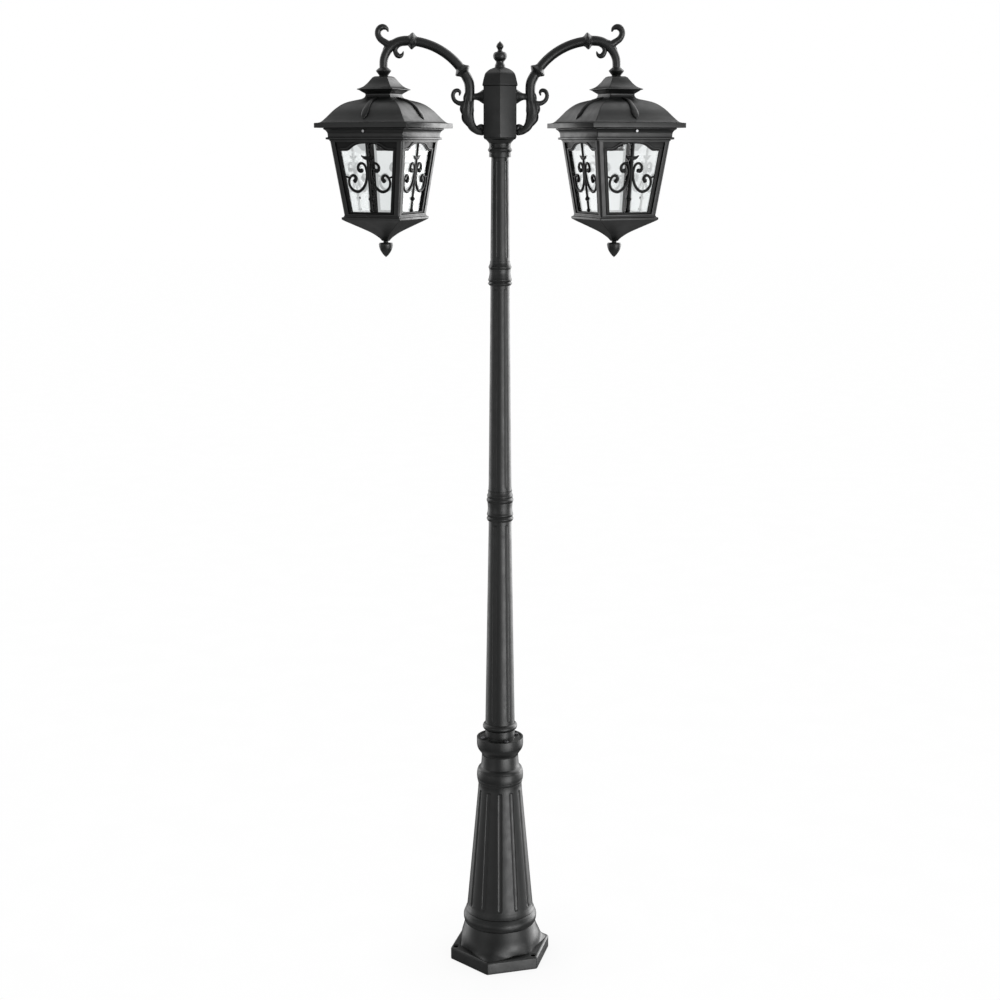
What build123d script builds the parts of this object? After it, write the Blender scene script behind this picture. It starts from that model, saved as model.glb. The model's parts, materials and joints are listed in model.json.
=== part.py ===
from build123d import *
import math
import os

os.makedirs("parts", exist_ok=True)

# Street lamp post with two hanging lanterns, in millimetres.
# Origin: centre of the foot, on the ground. +Z up, the arms lie along X, the front is -Y.

# Post, from the ground up
foot_corner_radius = 141.0
foot_height = 35.0
foot_turn = -14.4
foot_corner_fillet = 5.0
anchor_circle = 252.0
anchor_count = 3
anchor_hole_radius = 6.5
anchor_spot_radius = 10.5
bell_low_radius = 121.0
taper_low = (90.0, 149.0)
taper_high = (58.6, 497.0)
cup_floor_height = 622.0
cup_rim_height = 632.0
cup_rim_radius = 62.6
cup_inner_radius = 57.5
flange_radius = 57.0
flange_thickness = 8.0
flange_bolt_circle = 96.0
flange_bolt_radius = 3.0
flange_bolt_head = 10.0
flange_bolt_head_height = 4.0
flange_bolt_low = 600.0
hub_height = 672.0
lower_low = (39.6, 672.0)
lower_high = (29.8, 1230.0)
middle_low = (30.3, 1311.0)
middle_high = (24.8, 1846.0)
upper_low = (24.5, 1908.0)
upper_high = (22.0, 2168.0)
middle_collar_low, middle_collar_high = 1230.0, 1311.0
upper_collar_low, upper_collar_high = 1846.0, 1908.0
middle_joint_radius = 28.0
upper_joint_radius = 23.0
middle_screw_height, upper_screw_height = 1266.0, 1877.0
collar_screw_radius = 2.5
collar_screw_directions = [(math.cos(math.radians(a)), math.sin(math.radians(a)), 0) for a in (60, 120)]
tube_wall = 4.0
sleeve_wall = 3.5
sleeve_reach = 30.0
slip = 0.05
post_flutes = 6
base_flutes = 12

# Head
head_flats = 82.6
head_low, head_high = 2213.0, 2343.0
head_wall = 5.0
head_floor = 14.0
cap_flats = 88.2
cap_top = 2388.0
post_tip = 2452.0

# Arms: the left arm in the XZ plane, the right one its mirror image
arm_reach = 291.0
arm_port_height = 2317.0
arm_tail_height = 2233.0
arm_radius = 12.0
arm_bore = 7.0
bead_radius, bead_length = 20.0, 9.0
lead_radius = 3.0
bead_point = (-219.0, 2452.0)
bead_slope = 5.0
crown_point = (-258.0, 2454.0)
elbow_radius = 33.0
collar_point = (-94.0, 2380.0)
stem_point = (-76.0, 2340.0)
port_bend = 14.0
drop_end = 2388.0
arm_nipple_radius = 6.9
nipple_bore = 3.6

# Lanterns: each one is drawn about its own axis, with z = 0 where the roof meets the cage
lantern_height = 2240.0
lantern_turn = -24.0
knuckle_low, knuckle_high = 126.5, 147.7
stem_nipple_low, stem_nipple_high = -6.0, 172.0
roof_skirt = 129.6
roof_wall = 3.0
eave_height = 12.5
cornice_top_half = 113.0
cornice_low = -32.0
cage_top_half = 101.4
cage_bottom_half = 77.6
cage_bottom = -216.0
pan_tip = -281.0
finial_tip = -322.0
post_face = 14.0
post_wall = 4.0
panel_wall = 3.0
glass_wall = 3.0
panel_margin = 8.5
opening_margin = 25.0
glass_margin = 21.0
lip_half = 90.0
lip_depth = 14.0
hinge_y, hinge_z = 121.0, -7.0
hinge_barrel_radius = 4.5
hinge_pin_radius = 2.0
hinge_barrel_length = 30.0
hinge_ear_length = 12.0
hinge_gap = 0.5
cage_screw_z, cage_screw_radius = -8.0, 2.0
lamp_thread_radius = 13.3
lamp_thread_depth = 24.0
holder_radius = 24.0
holder_top, holder_low = 2.0, -56.0


def draw_strokes(strokes):
    """Two points make a straight line, three or more a smooth curve."""
    for stroke in strokes:
        if len(stroke) == 2:
            Line(*stroke)
        else:
            Spline(*stroke)


def turned(strokes, mode=Mode.ADD):
    """Adds a body of revolution about Z, from strokes of (radius, height) that start and end on the axis."""
    with BuildSketch(Plane.XZ) as outline:
        with BuildLine():
            draw_strokes(strokes)
            Line(strokes[-1][-1], strokes[0][0])
        make_face()
    revolve(outline.sketch, axis=Axis.Z, mode=mode)


def flat_sided(strokes, sides):
    """A body with flat sides about Z: one mirrored outline of (half width, height) pushed through
    square to each pair of sides, and only what all of them share is kept."""
    reach = 2 * max(point[0] for stroke in strokes for point in stroke)
    with BuildPart() as body:
        for index in range(sides // 2):
            turn = math.radians(index * 360 / sides)
            across = (math.cos(turn), math.sin(turn), 0)
            through = (math.sin(turn), -math.cos(turn), 0)
            with BuildSketch(Plane(origin=(0, 0, 0), x_dir=across, z_dir=through)):
                with BuildLine():
                    draw_strokes(strokes)
                    mirror(about=Plane.YZ)
                make_face()
            extrude(amount=reach, both=True, mode=Mode.INTERSECT if index else Mode.ADD)
    return body.part


def flutes(low, high, count, first_angle, width, depth, end_gap):
    """Round-ended grooves along a taper, as one cutter. low and high are (radius, height)."""
    cutter_radius = (width**2 / 4 + depth**2) / (2 * depth)
    slope = Vector(high[0] - low[0], 0, high[1] - low[1])
    along = slope.normalized()
    start = Vector(low[0] + cutter_radius - depth, 0, low[1]) + along * end_gap
    length = slope.length - 2 * end_gap
    with BuildPart() as groove:
        with BuildSketch(Plane(origin=start, z_dir=along)):
            Circle(cutter_radius)
        extrude(amount=length)
        with Locations(start, start + along * length):
            Sphere(cutter_radius)
    with BuildPart() as grooves:
        with PolarLocations(0, count, start_angle=first_angle):
            add(groove.part)
    return grooves.part


def rod(point, direction, radius, length, mode=Mode.ADD):
    """A round rod from a point along a direction."""
    with BuildSketch(Plane(origin=point, z_dir=direction)) as section:
        Circle(radius)
    extrude(section.sketch, amount=length, mode=mode)


def hexagon_nut(point, direction, flats, height):
    """A hexagonal prism from a point along a direction."""
    with BuildSketch(Plane(origin=point, z_dir=direction)) as section:
        RegularPolygon(radius=flats / 2, side_count=6, major_radius=False)
    extrude(section.sketch, amount=height)


def save(piece, name):
    """Labels a finished piece and writes it as one STEP file."""
    piece.part.label = name
    export_step(piece.part, f"parts/{name}.step")


# ---------------------------------------------------------------- base column
foot_angle = 270 + foot_turn
with BuildPart() as base_column:
    with BuildSketch():
        RegularPolygon(radius=foot_corner_radius, side_count=6, rotation=foot_angle)
    extrude(amount=foot_height)
    fillet(base_column.edges().filter_by(Axis.Z), radius=foot_corner_fillet)
    fillet(base_column.faces().sort_by(Axis.Z)[-1].edges(), radius=4)
    turned(
        [
            [(0, foot_height - 5), (bell_low_radius, foot_height - 5)],
            [(bell_low_radius, foot_height - 5), (bell_low_radius, foot_height + 3)],
            [(bell_low_radius, foot_height + 3), (114, 52), (104, 71), (98.5, 92), (96.5, 101)],
            [(96.5, 101), (99.3, 114), (95.5, 130)],
            [(95.5, 130), (92.0, 133)],
            [(92.0, 133), taper_low],
            [taper_low, taper_high],
            [taper_high, (59.5, 506)],
            [(59.5, 506), (62.4, 524), (58.5, 545)],
            [(58.5, 545), (52.5, 549)],
            [(52.5, 549), (49.5, 560), (47.6, 582)],
            [(47.6, 582), (52.5, 596), (61.0, 608), (cup_rim_radius, 618)],
            [(cup_rim_radius, 618), (cup_rim_radius, cup_rim_height)],
            [(cup_rim_radius, cup_rim_height), (0, cup_rim_height)],
        ]
    )
    rod((0, 0, cup_floor_height), (0, 0, 1), cup_inner_radius, 100, Mode.SUBTRACT)
    turned(
        [
            [(0, 0), (104, 0)],
            [(104, 0), (104, 30)],
            [(104, 30), (86, 90)],
            [(86, 90), (80, 150)],
            [(80, 150), (50, 495)],
            [(50, 495), (40, 560)],
            [(40, 560), (40, 604)],
            [(40, 604), (0, 604)],
        ],
        Mode.SUBTRACT,
    )
    rod((0, 0, 600), (0, 0, 1), 20, 40, Mode.SUBTRACT)
    add(flutes(taper_low, taper_high, base_flutes, -92, 15, 3.5, 16), mode=Mode.SUBTRACT)
    with PolarLocations(anchor_circle / 2, anchor_count, start_angle=foot_angle + 60):
        Cylinder(anchor_hole_radius, 200, mode=Mode.SUBTRACT)
        with Locations((0, 0, foot_height)):
            Cylinder(anchor_spot_radius, 60, align=(Align.CENTER, Align.CENTER, Align.MIN), mode=Mode.SUBTRACT)
    with PolarLocations(flange_bolt_circle / 2, 4, start_angle=20 - 90):
        with Locations((0, 0, flange_bolt_low - 1)):
            Cylinder(flange_bolt_radius + slip, 60, align=(Align.CENTER, Align.CENTER, Align.MIN), mode=Mode.SUBTRACT)
save(base_column, "base_column")

# ---------------------------------------------------------------- pole flange and its bolts
flange_top = cup_floor_height + flange_thickness
with BuildPart() as pole_flange:
    turned(
        [
            [(0, cup_floor_height), (flange_radius, cup_floor_height)],
            [(flange_radius, cup_floor_height), (flange_radius, flange_top - 1)],
            [(flange_radius, flange_top - 1), (flange_radius - 1, flange_top)],
            [(flange_radius - 1, flange_top), (41.5, flange_top)],
            [(41.5, flange_top), (40.3, 636), (40.0, 654)],
            [(40.0, 654), (44.5, 657), (46.2, 663), (44.5, 668.5), (40.5, hub_height)],
            [(40.5, hub_height), (0, hub_height)],
        ]
    )
    rod((0, 0, 500), (0, 0, 1), 34.0 + slip, 300, Mode.SUBTRACT)
    with PolarLocations(flange_bolt_circle / 2, 4, start_angle=20 - 90):
        with Locations((0, 0, cup_floor_height)):
            Cylinder(flange_bolt_radius + 0.5, 60, mode=Mode.SUBTRACT)
save(pole_flange, "pole_flange")

with BuildPart() as flange_bolts:
    for index in range(4):
        angle = math.radians(index * 90 + 20 - 90)
        x = flange_bolt_circle / 2 * math.cos(angle)
        y = flange_bolt_circle / 2 * math.sin(angle)
        rod((x, y, flange_bolt_low), (0, 0, 1), flange_bolt_radius, flange_top - flange_bolt_low)
        hexagon_nut((x, y, flange_top), (0, 0, 1), flange_bolt_head, flange_bolt_head_height)
save(flange_bolts, "flange_bolts")

# ---------------------------------------------------------------- shafts
with BuildPart() as lower_shaft:
    turned(
        [
            [(0, cup_floor_height), (34, cup_floor_height)],
            [(34, cup_floor_height), (34, hub_height)],
            [(34, hub_height), lower_low],
            [lower_low, lower_high],
            [lower_high, (middle_joint_radius, 1230)],
            [(middle_joint_radius, 1230), (middle_joint_radius, 1269.5)],
            [(middle_joint_radius, 1269.5), (0, 1269.5)],
        ]
    )
    turned(
        [
            [(0, 600), (30, 600)],
            [(30, 600), (30, 720)],
            [(30, 720), (middle_joint_radius - tube_wall, 1200)],
            [(middle_joint_radius - tube_wall, 1200), (middle_joint_radius - tube_wall, 1280)],
            [(middle_joint_radius - tube_wall, 1280), (0, 1280)],
        ],
        Mode.SUBTRACT,
    )
    add(flutes(lower_low, lower_high, post_flutes, 35 - 90, 12, 1.6, 8), mode=Mode.SUBTRACT)
save(lower_shaft, "lower_shaft")

with BuildPart() as middle_shaft:
    turned(
        [
            [(0, 1270.5), (middle_joint_radius, 1270.5)],
            [(middle_joint_radius, 1270.5), (middle_joint_radius, 1311)],
            [(middle_joint_radius, 1311), middle_low],
            [middle_low, middle_high],
            [middle_high, (upper_joint_radius, 1846)],
            [(upper_joint_radius, 1846), (upper_joint_radius, 1876.5)],
            [(upper_joint_radius, 1876.5), (0, 1876.5)],
        ]
    )
    turned(
        [
            [(0, 1260), (middle_joint_radius - tube_wall, 1260)],
            [(middle_joint_radius - tube_wall, 1260), (middle_joint_radius - tube_wall, 1350)],
            [(middle_joint_radius - tube_wall, 1350), (upper_joint_radius - tube_wall, 1810)],
            [(upper_joint_radius - tube_wall, 1810), (upper_joint_radius - tube_wall, 1890)],
            [(upper_joint_radius - tube_wall, 1890), (0, 1890)],
        ],
        Mode.SUBTRACT,
    )
    add(flutes(middle_low, middle_high, post_flutes, 32 - 90, 10.5, 1.4, 8), mode=Mode.SUBTRACT)
save(middle_shaft, "middle_shaft")

with BuildPart() as upper_shaft:
    turned(
        [
            [(0, 1877.5), (upper_joint_radius, 1877.5)],
            [(upper_joint_radius, 1877.5), (upper_joint_radius, 1908)],
            [(upper_joint_radius, 1908), upper_low],
            [upper_low, upper_high],
            [upper_high, (20, 2168)],
            [(20, 2168), (20, 2200)],
            [(20, 2200), (0, 2200)],
        ]
    )
    turned(
        [
            [(0, 1860), (upper_joint_radius - tube_wall, 1860)],
            [(upper_joint_radius - tube_wall, 1860), (upper_joint_radius - tube_wall, 1950)],
            [(upper_joint_radius - tube_wall, 1950), (16, 2168)],
            [(16, 2168), (16, 2210)],
            [(16, 2210), (0, 2210)],
        ],
        Mode.SUBTRACT,
    )
    add(flutes(upper_low, upper_high, post_flutes, -11 - 90, 9, 1.3, 8), mode=Mode.SUBTRACT)
save(upper_shaft, "upper_shaft")

# ---------------------------------------------------------------- collars that cover the shaft joints
with BuildPart() as middle_collar:
    turned(
        [
            [(0, 1230), (32.5, 1230)],
            [(32.5, 1230), (35.2, 1236), (32.4, 1241.5)],
            [(32.4, 1241.5), (34.6, 1247), (32.9, 1252.5)],
            [(32.9, 1252.5), (32.0, 1264), (33.0, 1279)],
            [(33.0, 1279), (35.3, 1286), (32.6, 1291.5)],
            [(32.6, 1291.5), (33.9, 1297), (32.0, 1302.5)],
            [(32.0, 1302.5), (31.2, 1307), (31.6, 1311)],
            [(31.6, 1311), (0, 1311)],
        ]
    )
    rod((0, 0, 1200), (0, 0, 1), middle_joint_radius + slip, 200, Mode.SUBTRACT)
    for direction in collar_screw_directions:
        rod((0, 0, middle_screw_height), direction, collar_screw_radius + slip, 60, Mode.SUBTRACT)
save(middle_collar, "middle_collar")

with BuildPart() as upper_collar:
    turned(
        [
            [(0, 1846), (27.0, 1846)],
            [(27.0, 1846), (30.5, 1851), (28.0, 1855.5)],
            [(28.0, 1855.5), (30.2, 1860.5), (28.6, 1865.5)],
            [(28.6, 1865.5), (26.8, 1877), (27.4, 1887)],
            [(27.4, 1887), (29.2, 1893), (27.0, 1898.5)],
            [(27.0, 1898.5), (25.8, 1903), (25.6, 1908)],
            [(25.6, 1908), (0, 1908)],
        ]
    )
    rod((0, 0, 1800), (0, 0, 1), upper_joint_radius + slip, 200, Mode.SUBTRACT)
    for direction in collar_screw_directions:
        rod((0, 0, upper_screw_height), direction, collar_screw_radius + slip, 60, Mode.SUBTRACT)
save(upper_collar, "upper_collar")

with BuildPart() as collar_screws:
    for height, radius in ((middle_screw_height, middle_joint_radius), (upper_screw_height, upper_joint_radius)):
        for direction in collar_screw_directions:
            start = Vector(direction) * (radius + 2 * slip)
            rod((start.X, start.Y, height), direction, collar_screw_radius, 3.4)
save(collar_screws, "collar_screws")

# ---------------------------------------------------------------- sleeves inside the shaft joints
joints = [
    ("middle", (middle_collar_low + middle_collar_high) / 2, middle_joint_radius),
    ("upper", (upper_collar_low + upper_collar_high) / 2, upper_joint_radius),
]
for name, height, radius in joints:
    outer = radius - tube_wall - slip
    with BuildPart() as sleeve:
        rod((0, 0, height - sleeve_reach), (0, 0, 1), outer, 2 * sleeve_reach)
        rod((0, 0, height - sleeve_reach), (0, 0, 1), outer - sleeve_wall, 2 * sleeve_reach, Mode.SUBTRACT)
    save(sleeve, f"{name}_sleeve")

# ---------------------------------------------------------------- head
head_half = head_flats / 2
with BuildPart() as head_box:
    turned(
        [
            [(0, 2168), (27.5, 2168)],
            [(27.5, 2168), (27.0, 2180)],
            [(27.0, 2180), (30.4, 2186), (27.2, 2192)],
            [(27.2, 2192), (27.6, 2202), (34.5, 2211)],
            [(34.5, 2211), (40.0, 2213.5)],
            [(40.0, 2213.5), (0, 2213.5)],
        ]
    )
    add(flat_sided([[(0, head_low), (head_half - 1.5, head_low)],
                    [(head_half - 1.5, head_low), (head_half, head_low + 4)],
                    [(head_half, head_low + 4), (head_half, head_high)],
                    [(head_half, head_high), (0, head_high)]], 6))
    inner_half = head_half - head_wall
    add(flat_sided([[(0, head_low + head_floor), (inner_half, head_low + head_floor)],
                    [(inner_half, head_low + head_floor), (inner_half, head_high + 5)],
                    [(inner_half, head_high + 5), (0, head_high + 5)]], 6), mode=Mode.SUBTRACT)
    rod((0, 0, 2160), (0, 0, 1), 20 + slip, 40, Mode.SUBTRACT)
    rod((0, 0, 2190), (0, 0, 1), 14, 60, Mode.SUBTRACT)
    for side in (-1, 1):
        rod((0, 0, arm_port_height), (side, 0, 0), arm_nipple_radius + slip, 60, Mode.SUBTRACT)
        rod((0, 0, arm_tail_height), (side, 0, 0), 3 + slip, 60, Mode.SUBTRACT)
save(head_box, "head_box")

cap_half = cap_flats / 2
with BuildPart() as head_cap:
    add(flat_sided([[(0, head_high), (cap_half - 1, head_high)],
                    [(cap_half - 1, head_high), (cap_half, head_high + 1.5)],
                    [(cap_half, head_high + 1.5), (cap_half - 1.5, 2352), (39.8, 2364), (36.0, 2374), (26, 2382.5), (13, cap_top)],
                    [(13, cap_top), (0, cap_top)]], 6))
    add(flat_sided([[(0, head_high), (34.5, head_high)],
                    [(34.5, head_high), (33, 2362)],
                    [(33, 2362), (12, 2380)],
                    [(12, 2380), (0, 2380)]], 6), mode=Mode.SUBTRACT)
    rod((0, 0, 2340), (0, 0, 1), 4 + slip, 100, Mode.SUBTRACT)
save(head_cap, "head_cap")

with BuildPart() as head_finial:
    turned(
        [
            [(0, cap_top), (13.0, cap_top)],
            [(13.0, cap_top), (12.6, 2393), (10.2, 2399), (10.4, 2403)],
            [(10.4, 2403), (16.0, 2410), (17.2, 2418), (14.0, 2424), (7.0, 2426.5)],
            [(7.0, 2426.5), (5.6, 2430.5), (7.0, 2434)],
            [(7.0, 2434), (9.4, 2439), (6.8, 2445), (2.2, 2449.5)],
            [(2.2, 2449.5), (0, post_tip)],
        ]
    )
    rod((0, 0, 2352), (0, 0, 1), 4, cap_top - 2352)
save(head_finial, "head_finial")

with BuildPart() as terminal_block:
    with BuildSketch(Plane.XY.offset(head_low + head_floor)):
        Rectangle(40, 22)
    extrude(amount=24)
    with BuildSketch(Plane.XY.offset(head_low + head_floor)):
        Circle(10)
    extrude(amount=16, mode=Mode.SUBTRACT)
    with BuildSketch(Plane.XY.offset(head_low + head_floor + 24)):
        with GridLocations(12, 12, 3, 2):
            Circle(3)
    extrude(amount=-6, mode=Mode.SUBTRACT)
save(terminal_block, "terminal_block")

with BuildPart() as supply_cable:
    rod((0, 0, 4), (0, 0, 1), 5.5, head_low + head_floor + 10 - 4)
save(supply_cable, "supply_cable")

# ---------------------------------------------------------------- arms, left hand
bead_tangent = (math.cos(math.radians(bead_slope)), -math.sin(math.radians(bead_slope)))
with BuildLine(Plane.XZ) as elbow_path:
    elbow_top = Spline(bead_point, crown_point, tangents=[(-bead_tangent[0], -bead_tangent[1]), (-1, 0)])
    elbow_bend = TangentArc(crown_point, (-arm_reach, crown_point[1] - elbow_radius), tangent=(-1, 0))
    Line((-arm_reach, crown_point[1] - elbow_radius), (-arm_reach, drop_end))
with BuildLine(Plane.XZ) as tube_path:
    arm_arc = TangentArc(bead_point, collar_point, tangent=bead_tangent)
collar_tangent = Vector(tube_path.line % 1)
with BuildLine(Plane.XZ) as bracket_path:
    Spline(collar_point, stem_point, tangents=[(collar_tangent.X, collar_tangent.Z), (0, -1)])
    Line(stem_point, (stem_point[0], arm_port_height + port_bend))
    TangentArc((stem_point[0], arm_port_height + port_bend), (stem_point[0] + port_bend, arm_port_height), tangent=(0, -1))
    Line((stem_point[0] + port_bend, arm_port_height), (-30, arm_port_height))


def swept(path, radius, mode=Mode.ADD):
    """A round section swept along a finished path."""
    with BuildSketch(Plane(origin=path.line @ 0, z_dir=path.line % 0)) as section:
        Circle(radius)
    sweep(section.sketch, path=path.line, mode=mode)


def half_bead(point, direction, inner, outer, length):
    """Half of a raised ring around the arm: a cone with its wide end at the joint between two castings."""
    seat = Plane(origin=point, z_dir=direction)
    with BuildSketch(seat) as wide_end:
        Circle(outer)
    with BuildSketch(seat.offset(length)) as narrow_end:
        Circle(inner)
    loft([wide_end.sketch, narrow_end.sketch])


def scroll(points, radius):
    """A round bar bent through a few points in the XZ plane."""
    with BuildLine(Plane.XZ) as bar:
        Spline(*points)
    swept(bar, radius)


bead_seat = Vector(bead_point[0], 0, bead_point[1])
collar_seat = Vector(collar_point[0], 0, collar_point[1])
with BuildPart() as arm_tube:
    swept(tube_path, arm_radius)
    half_bead(bead_seat, (bead_tangent[0], 0, bead_tangent[1]), arm_radius + 1, bead_radius, bead_length)
    half_bead(collar_seat, -collar_tangent, arm_radius + 1, bead_radius, bead_length)
    swept(tube_path, arm_bore, Mode.SUBTRACT)

with BuildPart() as arm_elbow:
    swept(elbow_path, arm_radius - 1)
    half_bead(bead_seat, (-bead_tangent[0], 0, -bead_tangent[1]), arm_radius, bead_radius, bead_length)
    scroll([(-281, 2444), (-301, 2457), (-305, 2471), (-298, 2485), (-286, 2489), (-279, 2480)], 6)
    scroll([(-256, 2453), (-262, 2434), (-257, 2422), (-248, 2420), (-243, 2427)], 5)
    swept(elbow_path, arm_bore, Mode.SUBTRACT)

with BuildPart() as arm_bracket:
    swept(bracket_path, arm_radius)
    half_bead(collar_seat, collar_tangent, arm_radius + 1, bead_radius, bead_length)
    with BuildSketch(Plane(origin=(-62, 0, arm_port_height), z_dir=(1, 0, 0))):
        Circle(arm_radius)
    with BuildSketch(Plane(origin=(-head_half, 0, arm_port_height), z_dir=(1, 0, 0))):
        Circle(17.5)
    loft()
    with BuildSketch(Plane.XZ):
        with BuildLine():
            Spline((-88, 2318), (-94, 2292), (-90, 2266), (-76, 2244), (-58, 2226))
            Line((-58, 2226), (-head_half, 2226))
            Line((-head_half, 2226), (-head_half, 2240))
            Line((-head_half, 2240), (-56, 2240))
            Spline((-56, 2240), (-66, 2254), (-67, 2280), (-64, 2318))
            Line((-64, 2318), (-88, 2318))
        make_face()
    extrude(amount=9, both=True)
    scroll([(-82, 2306), (-97, 2301), (-112, 2307), (-119, 2320), (-114, 2332), (-104, 2333), (-100, 2325)], 5)
    split(bisect_by=Plane(origin=(-head_half, 0, 0), z_dir=(-1, 0, 0)), keep=Keep.TOP)
    swept(bracket_path, arm_bore, Mode.SUBTRACT)
    rod((-head_half, 0, arm_tail_height), (-1, 0, 0), 3 + slip, 14, Mode.SUBTRACT)

with BuildPart() as arm_lead:
    swept(bracket_path, lead_radius)
    swept(tube_path, lead_radius)
    swept(elbow_path, lead_radius)

arm_pieces = {"arm_tube": arm_tube, "arm_elbow": arm_elbow, "arm_bracket": arm_bracket, "arm_lead": arm_lead}
for name, piece in arm_pieces.items():
    save(piece, f"left_{name}")
    with BuildPart() as mirrored_piece:
        mirror(piece.part, about=Plane.YZ)
    save(mirrored_piece, f"right_{name}")

# ---------------------------------------------------------------- arm fasteners, both sides
head_inside = head_half - head_wall
with BuildPart() as arm_nipples:
    for side in (-1, 1):
        rod((side * 28, 0, arm_port_height), (side, 0, 0), arm_nipple_radius, 30)
        rod((side * 28, 0, arm_port_height), (side, 0, 0), nipple_bore, 30, Mode.SUBTRACT)
save(arm_nipples, "arm_nipples")

with BuildPart() as arm_nuts:
    for side in (-1, 1):
        hexagon_nut((side * (head_inside - 5), 0, arm_port_height), (side, 0, 0), 20, 5)
        rod((side * 20, 0, arm_port_height), (side, 0, 0), arm_nipple_radius + slip, 20, Mode.SUBTRACT)
save(arm_nuts, "arm_nuts")

with BuildPart() as tail_screws:
    for side in (-1, 1):
        hexagon_nut((side * (head_inside - 4), 0, arm_tail_height), (side, 0, 0), 10, 4)
        rod((side * (head_inside - 1), 0, arm_tail_height), (side, 0, 0), 3, 18)
save(tail_screws, "tail_screws")

# ---------------------------------------------------------------- lantern, fixed half, about its own axis
with BuildPart() as stem_nipple:
    rod((0, 0, stem_nipple_low), (0, 0, 1), arm_bore - slip, stem_nipple_high - stem_nipple_low)
    rod((0, 0, stem_nipple_low), (0, 0, 1), nipple_bore, stem_nipple_high - stem_nipple_low, Mode.SUBTRACT)

with BuildPart() as knuckle:
    turned(
        [
            [(0, knuckle_low), (11.5, knuckle_low)],
            [(11.5, knuckle_low), (13.5, 131), (18.6, 138), (19, 140)],
            [(19, 140), (17.5, 142.5), (12.0, knuckle_high)],
            [(12.0, knuckle_high), (0, knuckle_high)],
        ]
    )
    rod((0, 0, 100), (0, 0, 1), arm_bore, 60, Mode.SUBTRACT)

with BuildPart() as cap:
    add(flat_sided([[(0, 92), (33, 92)],
                    [(33, 92), (50.4, 94.5)],
                    [(50.4, 94.5), (50.4, 96.5)],
                    [(50.4, 96.5), (36.5, 105), (26.5, 117), (17.5, knuckle_low)],
                    [(17.5, knuckle_low), (0, knuckle_low)]], 4))
    rod((0, 0, 80), (0, 0, 1), arm_bore, 60, Mode.SUBTRACT)

with BuildPart() as roof:
    add(flat_sided([[(0, -lip_depth), (lip_half, -lip_depth)],
                    [(lip_half, -lip_depth), (lip_half, 0)],
                    [(lip_half, 0), (roof_skirt, 0)],
                    [(roof_skirt, 0), (roof_skirt, eave_height)],
                    [(roof_skirt, eave_height), (122, eave_height)],
                    [(122, eave_height), (116, 15.5), (106, 27), (90.4, 46.4), (71.2, 61.5), (42, 71)],
                    [(42, 71), (36, 75), (33, 82)],
                    [(33, 82), (33, 92)],
                    [(33, 92), (0, 92)]], 4))
    add(flat_sided([[(0, -20), (lip_half - roof_wall, -20)],
                    [(lip_half - roof_wall, -20), (lip_half - roof_wall, 5)],
                    [(lip_half - roof_wall, 5), (112, 12)],
                    [(112, 12), (102, 25.5), (87, 43), (69, 57.5), (41, 67)],
                    [(41, 67), (0, 67)]], 4), mode=Mode.SUBTRACT)
    for side in (-1, 1):
        ear_x = side * (hinge_barrel_length / 2 + hinge_gap + hinge_ear_length / 2)
        with Locations((ear_x, hinge_y, hinge_z)):
            Cylinder(hinge_barrel_radius, hinge_ear_length, rotation=(0, 90, 0))
        with Locations((ear_x, hinge_y, hinge_z / 2 + 0.5)):
            Box(hinge_ear_length, 2 * hinge_barrel_radius, -hinge_z + 1)
    rod((-60, hinge_y, hinge_z), (1, 0, 0), hinge_pin_radius + slip, 120, Mode.SUBTRACT)
    rod((0, 0, 50), (0, 0, 1), arm_bore, 60, Mode.SUBTRACT)

with BuildPart() as roof_nut:
    hexagon_nut((0, 0, 59), (0, 0, 1), 22, 8)
    rod((0, 0, 50), (0, 0, 1), arm_bore, 30, Mode.SUBTRACT)

with BuildPart() as lamp_holder:
    rod((0, 0, holder_low), (0, 0, 1), holder_radius, holder_top - holder_low)
    fillet(lamp_holder.edges().group_by(Axis.Z)[-1], radius=6)
    fillet(lamp_holder.edges().group_by(Axis.Z)[0], radius=7)
    rod((0, 0, holder_low), (0, 0, 1), lamp_thread_radius, lamp_thread_depth, Mode.SUBTRACT)
    rod((0, 0, stem_nipple_low - 2), (0, 0, 1), arm_bore, 30, Mode.SUBTRACT)

pin_half = hinge_barrel_length / 2 + hinge_gap + hinge_ear_length
with BuildPart() as hinge_pin:
    rod((-pin_half - 1, hinge_y, hinge_z), (1, 0, 0), hinge_pin_radius, 2 * pin_half + 2)

# ---------------------------------------------------------------- lantern, cage half, about the same axis
with BuildPart() as cornice:
    add(flat_sided([[(0, cornice_low), (102, cornice_low)],
                    [(102, cornice_low), (102, -29)],
                    [(102, -29), (108.7, -28)],
                    [(108.7, -28), (108.7, -23.5)],
                    [(108.7, -23.5), (104.6, -22.5)],
                    [(104.6, -22.5), (105.4, -13), (108.3, -7), (cornice_top_half, -3)],
                    [(cornice_top_half, -3), (cornice_top_half, -0.5)],
                    [(cornice_top_half, -0.5), (0, -0.5)]], 4))
    with BuildSketch(Plane.XY.offset(cornice_low)) as inner_square:
        Rectangle(2 * (lip_half + 3), 2 * (lip_half + 3))
    extrude(amount=60, mode=Mode.SUBTRACT)
    with Locations((0, hinge_y, hinge_z)):
        Cylinder(hinge_barrel_radius, hinge_barrel_length, rotation=(0, 90, 0))
    with Locations((0, (hinge_y + 104) / 2, hinge_z)):
        Box(hinge_barrel_length, hinge_y - 104, 2 * hinge_barrel_radius)
    rod((-60, hinge_y, hinge_z), (1, 0, 0), hinge_pin_radius + slip, 120, Mode.SUBTRACT)
    rod((0, 0, cage_screw_z), (0, -1, 0), cage_screw_radius + slip, 130, Mode.SUBTRACT)

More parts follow.
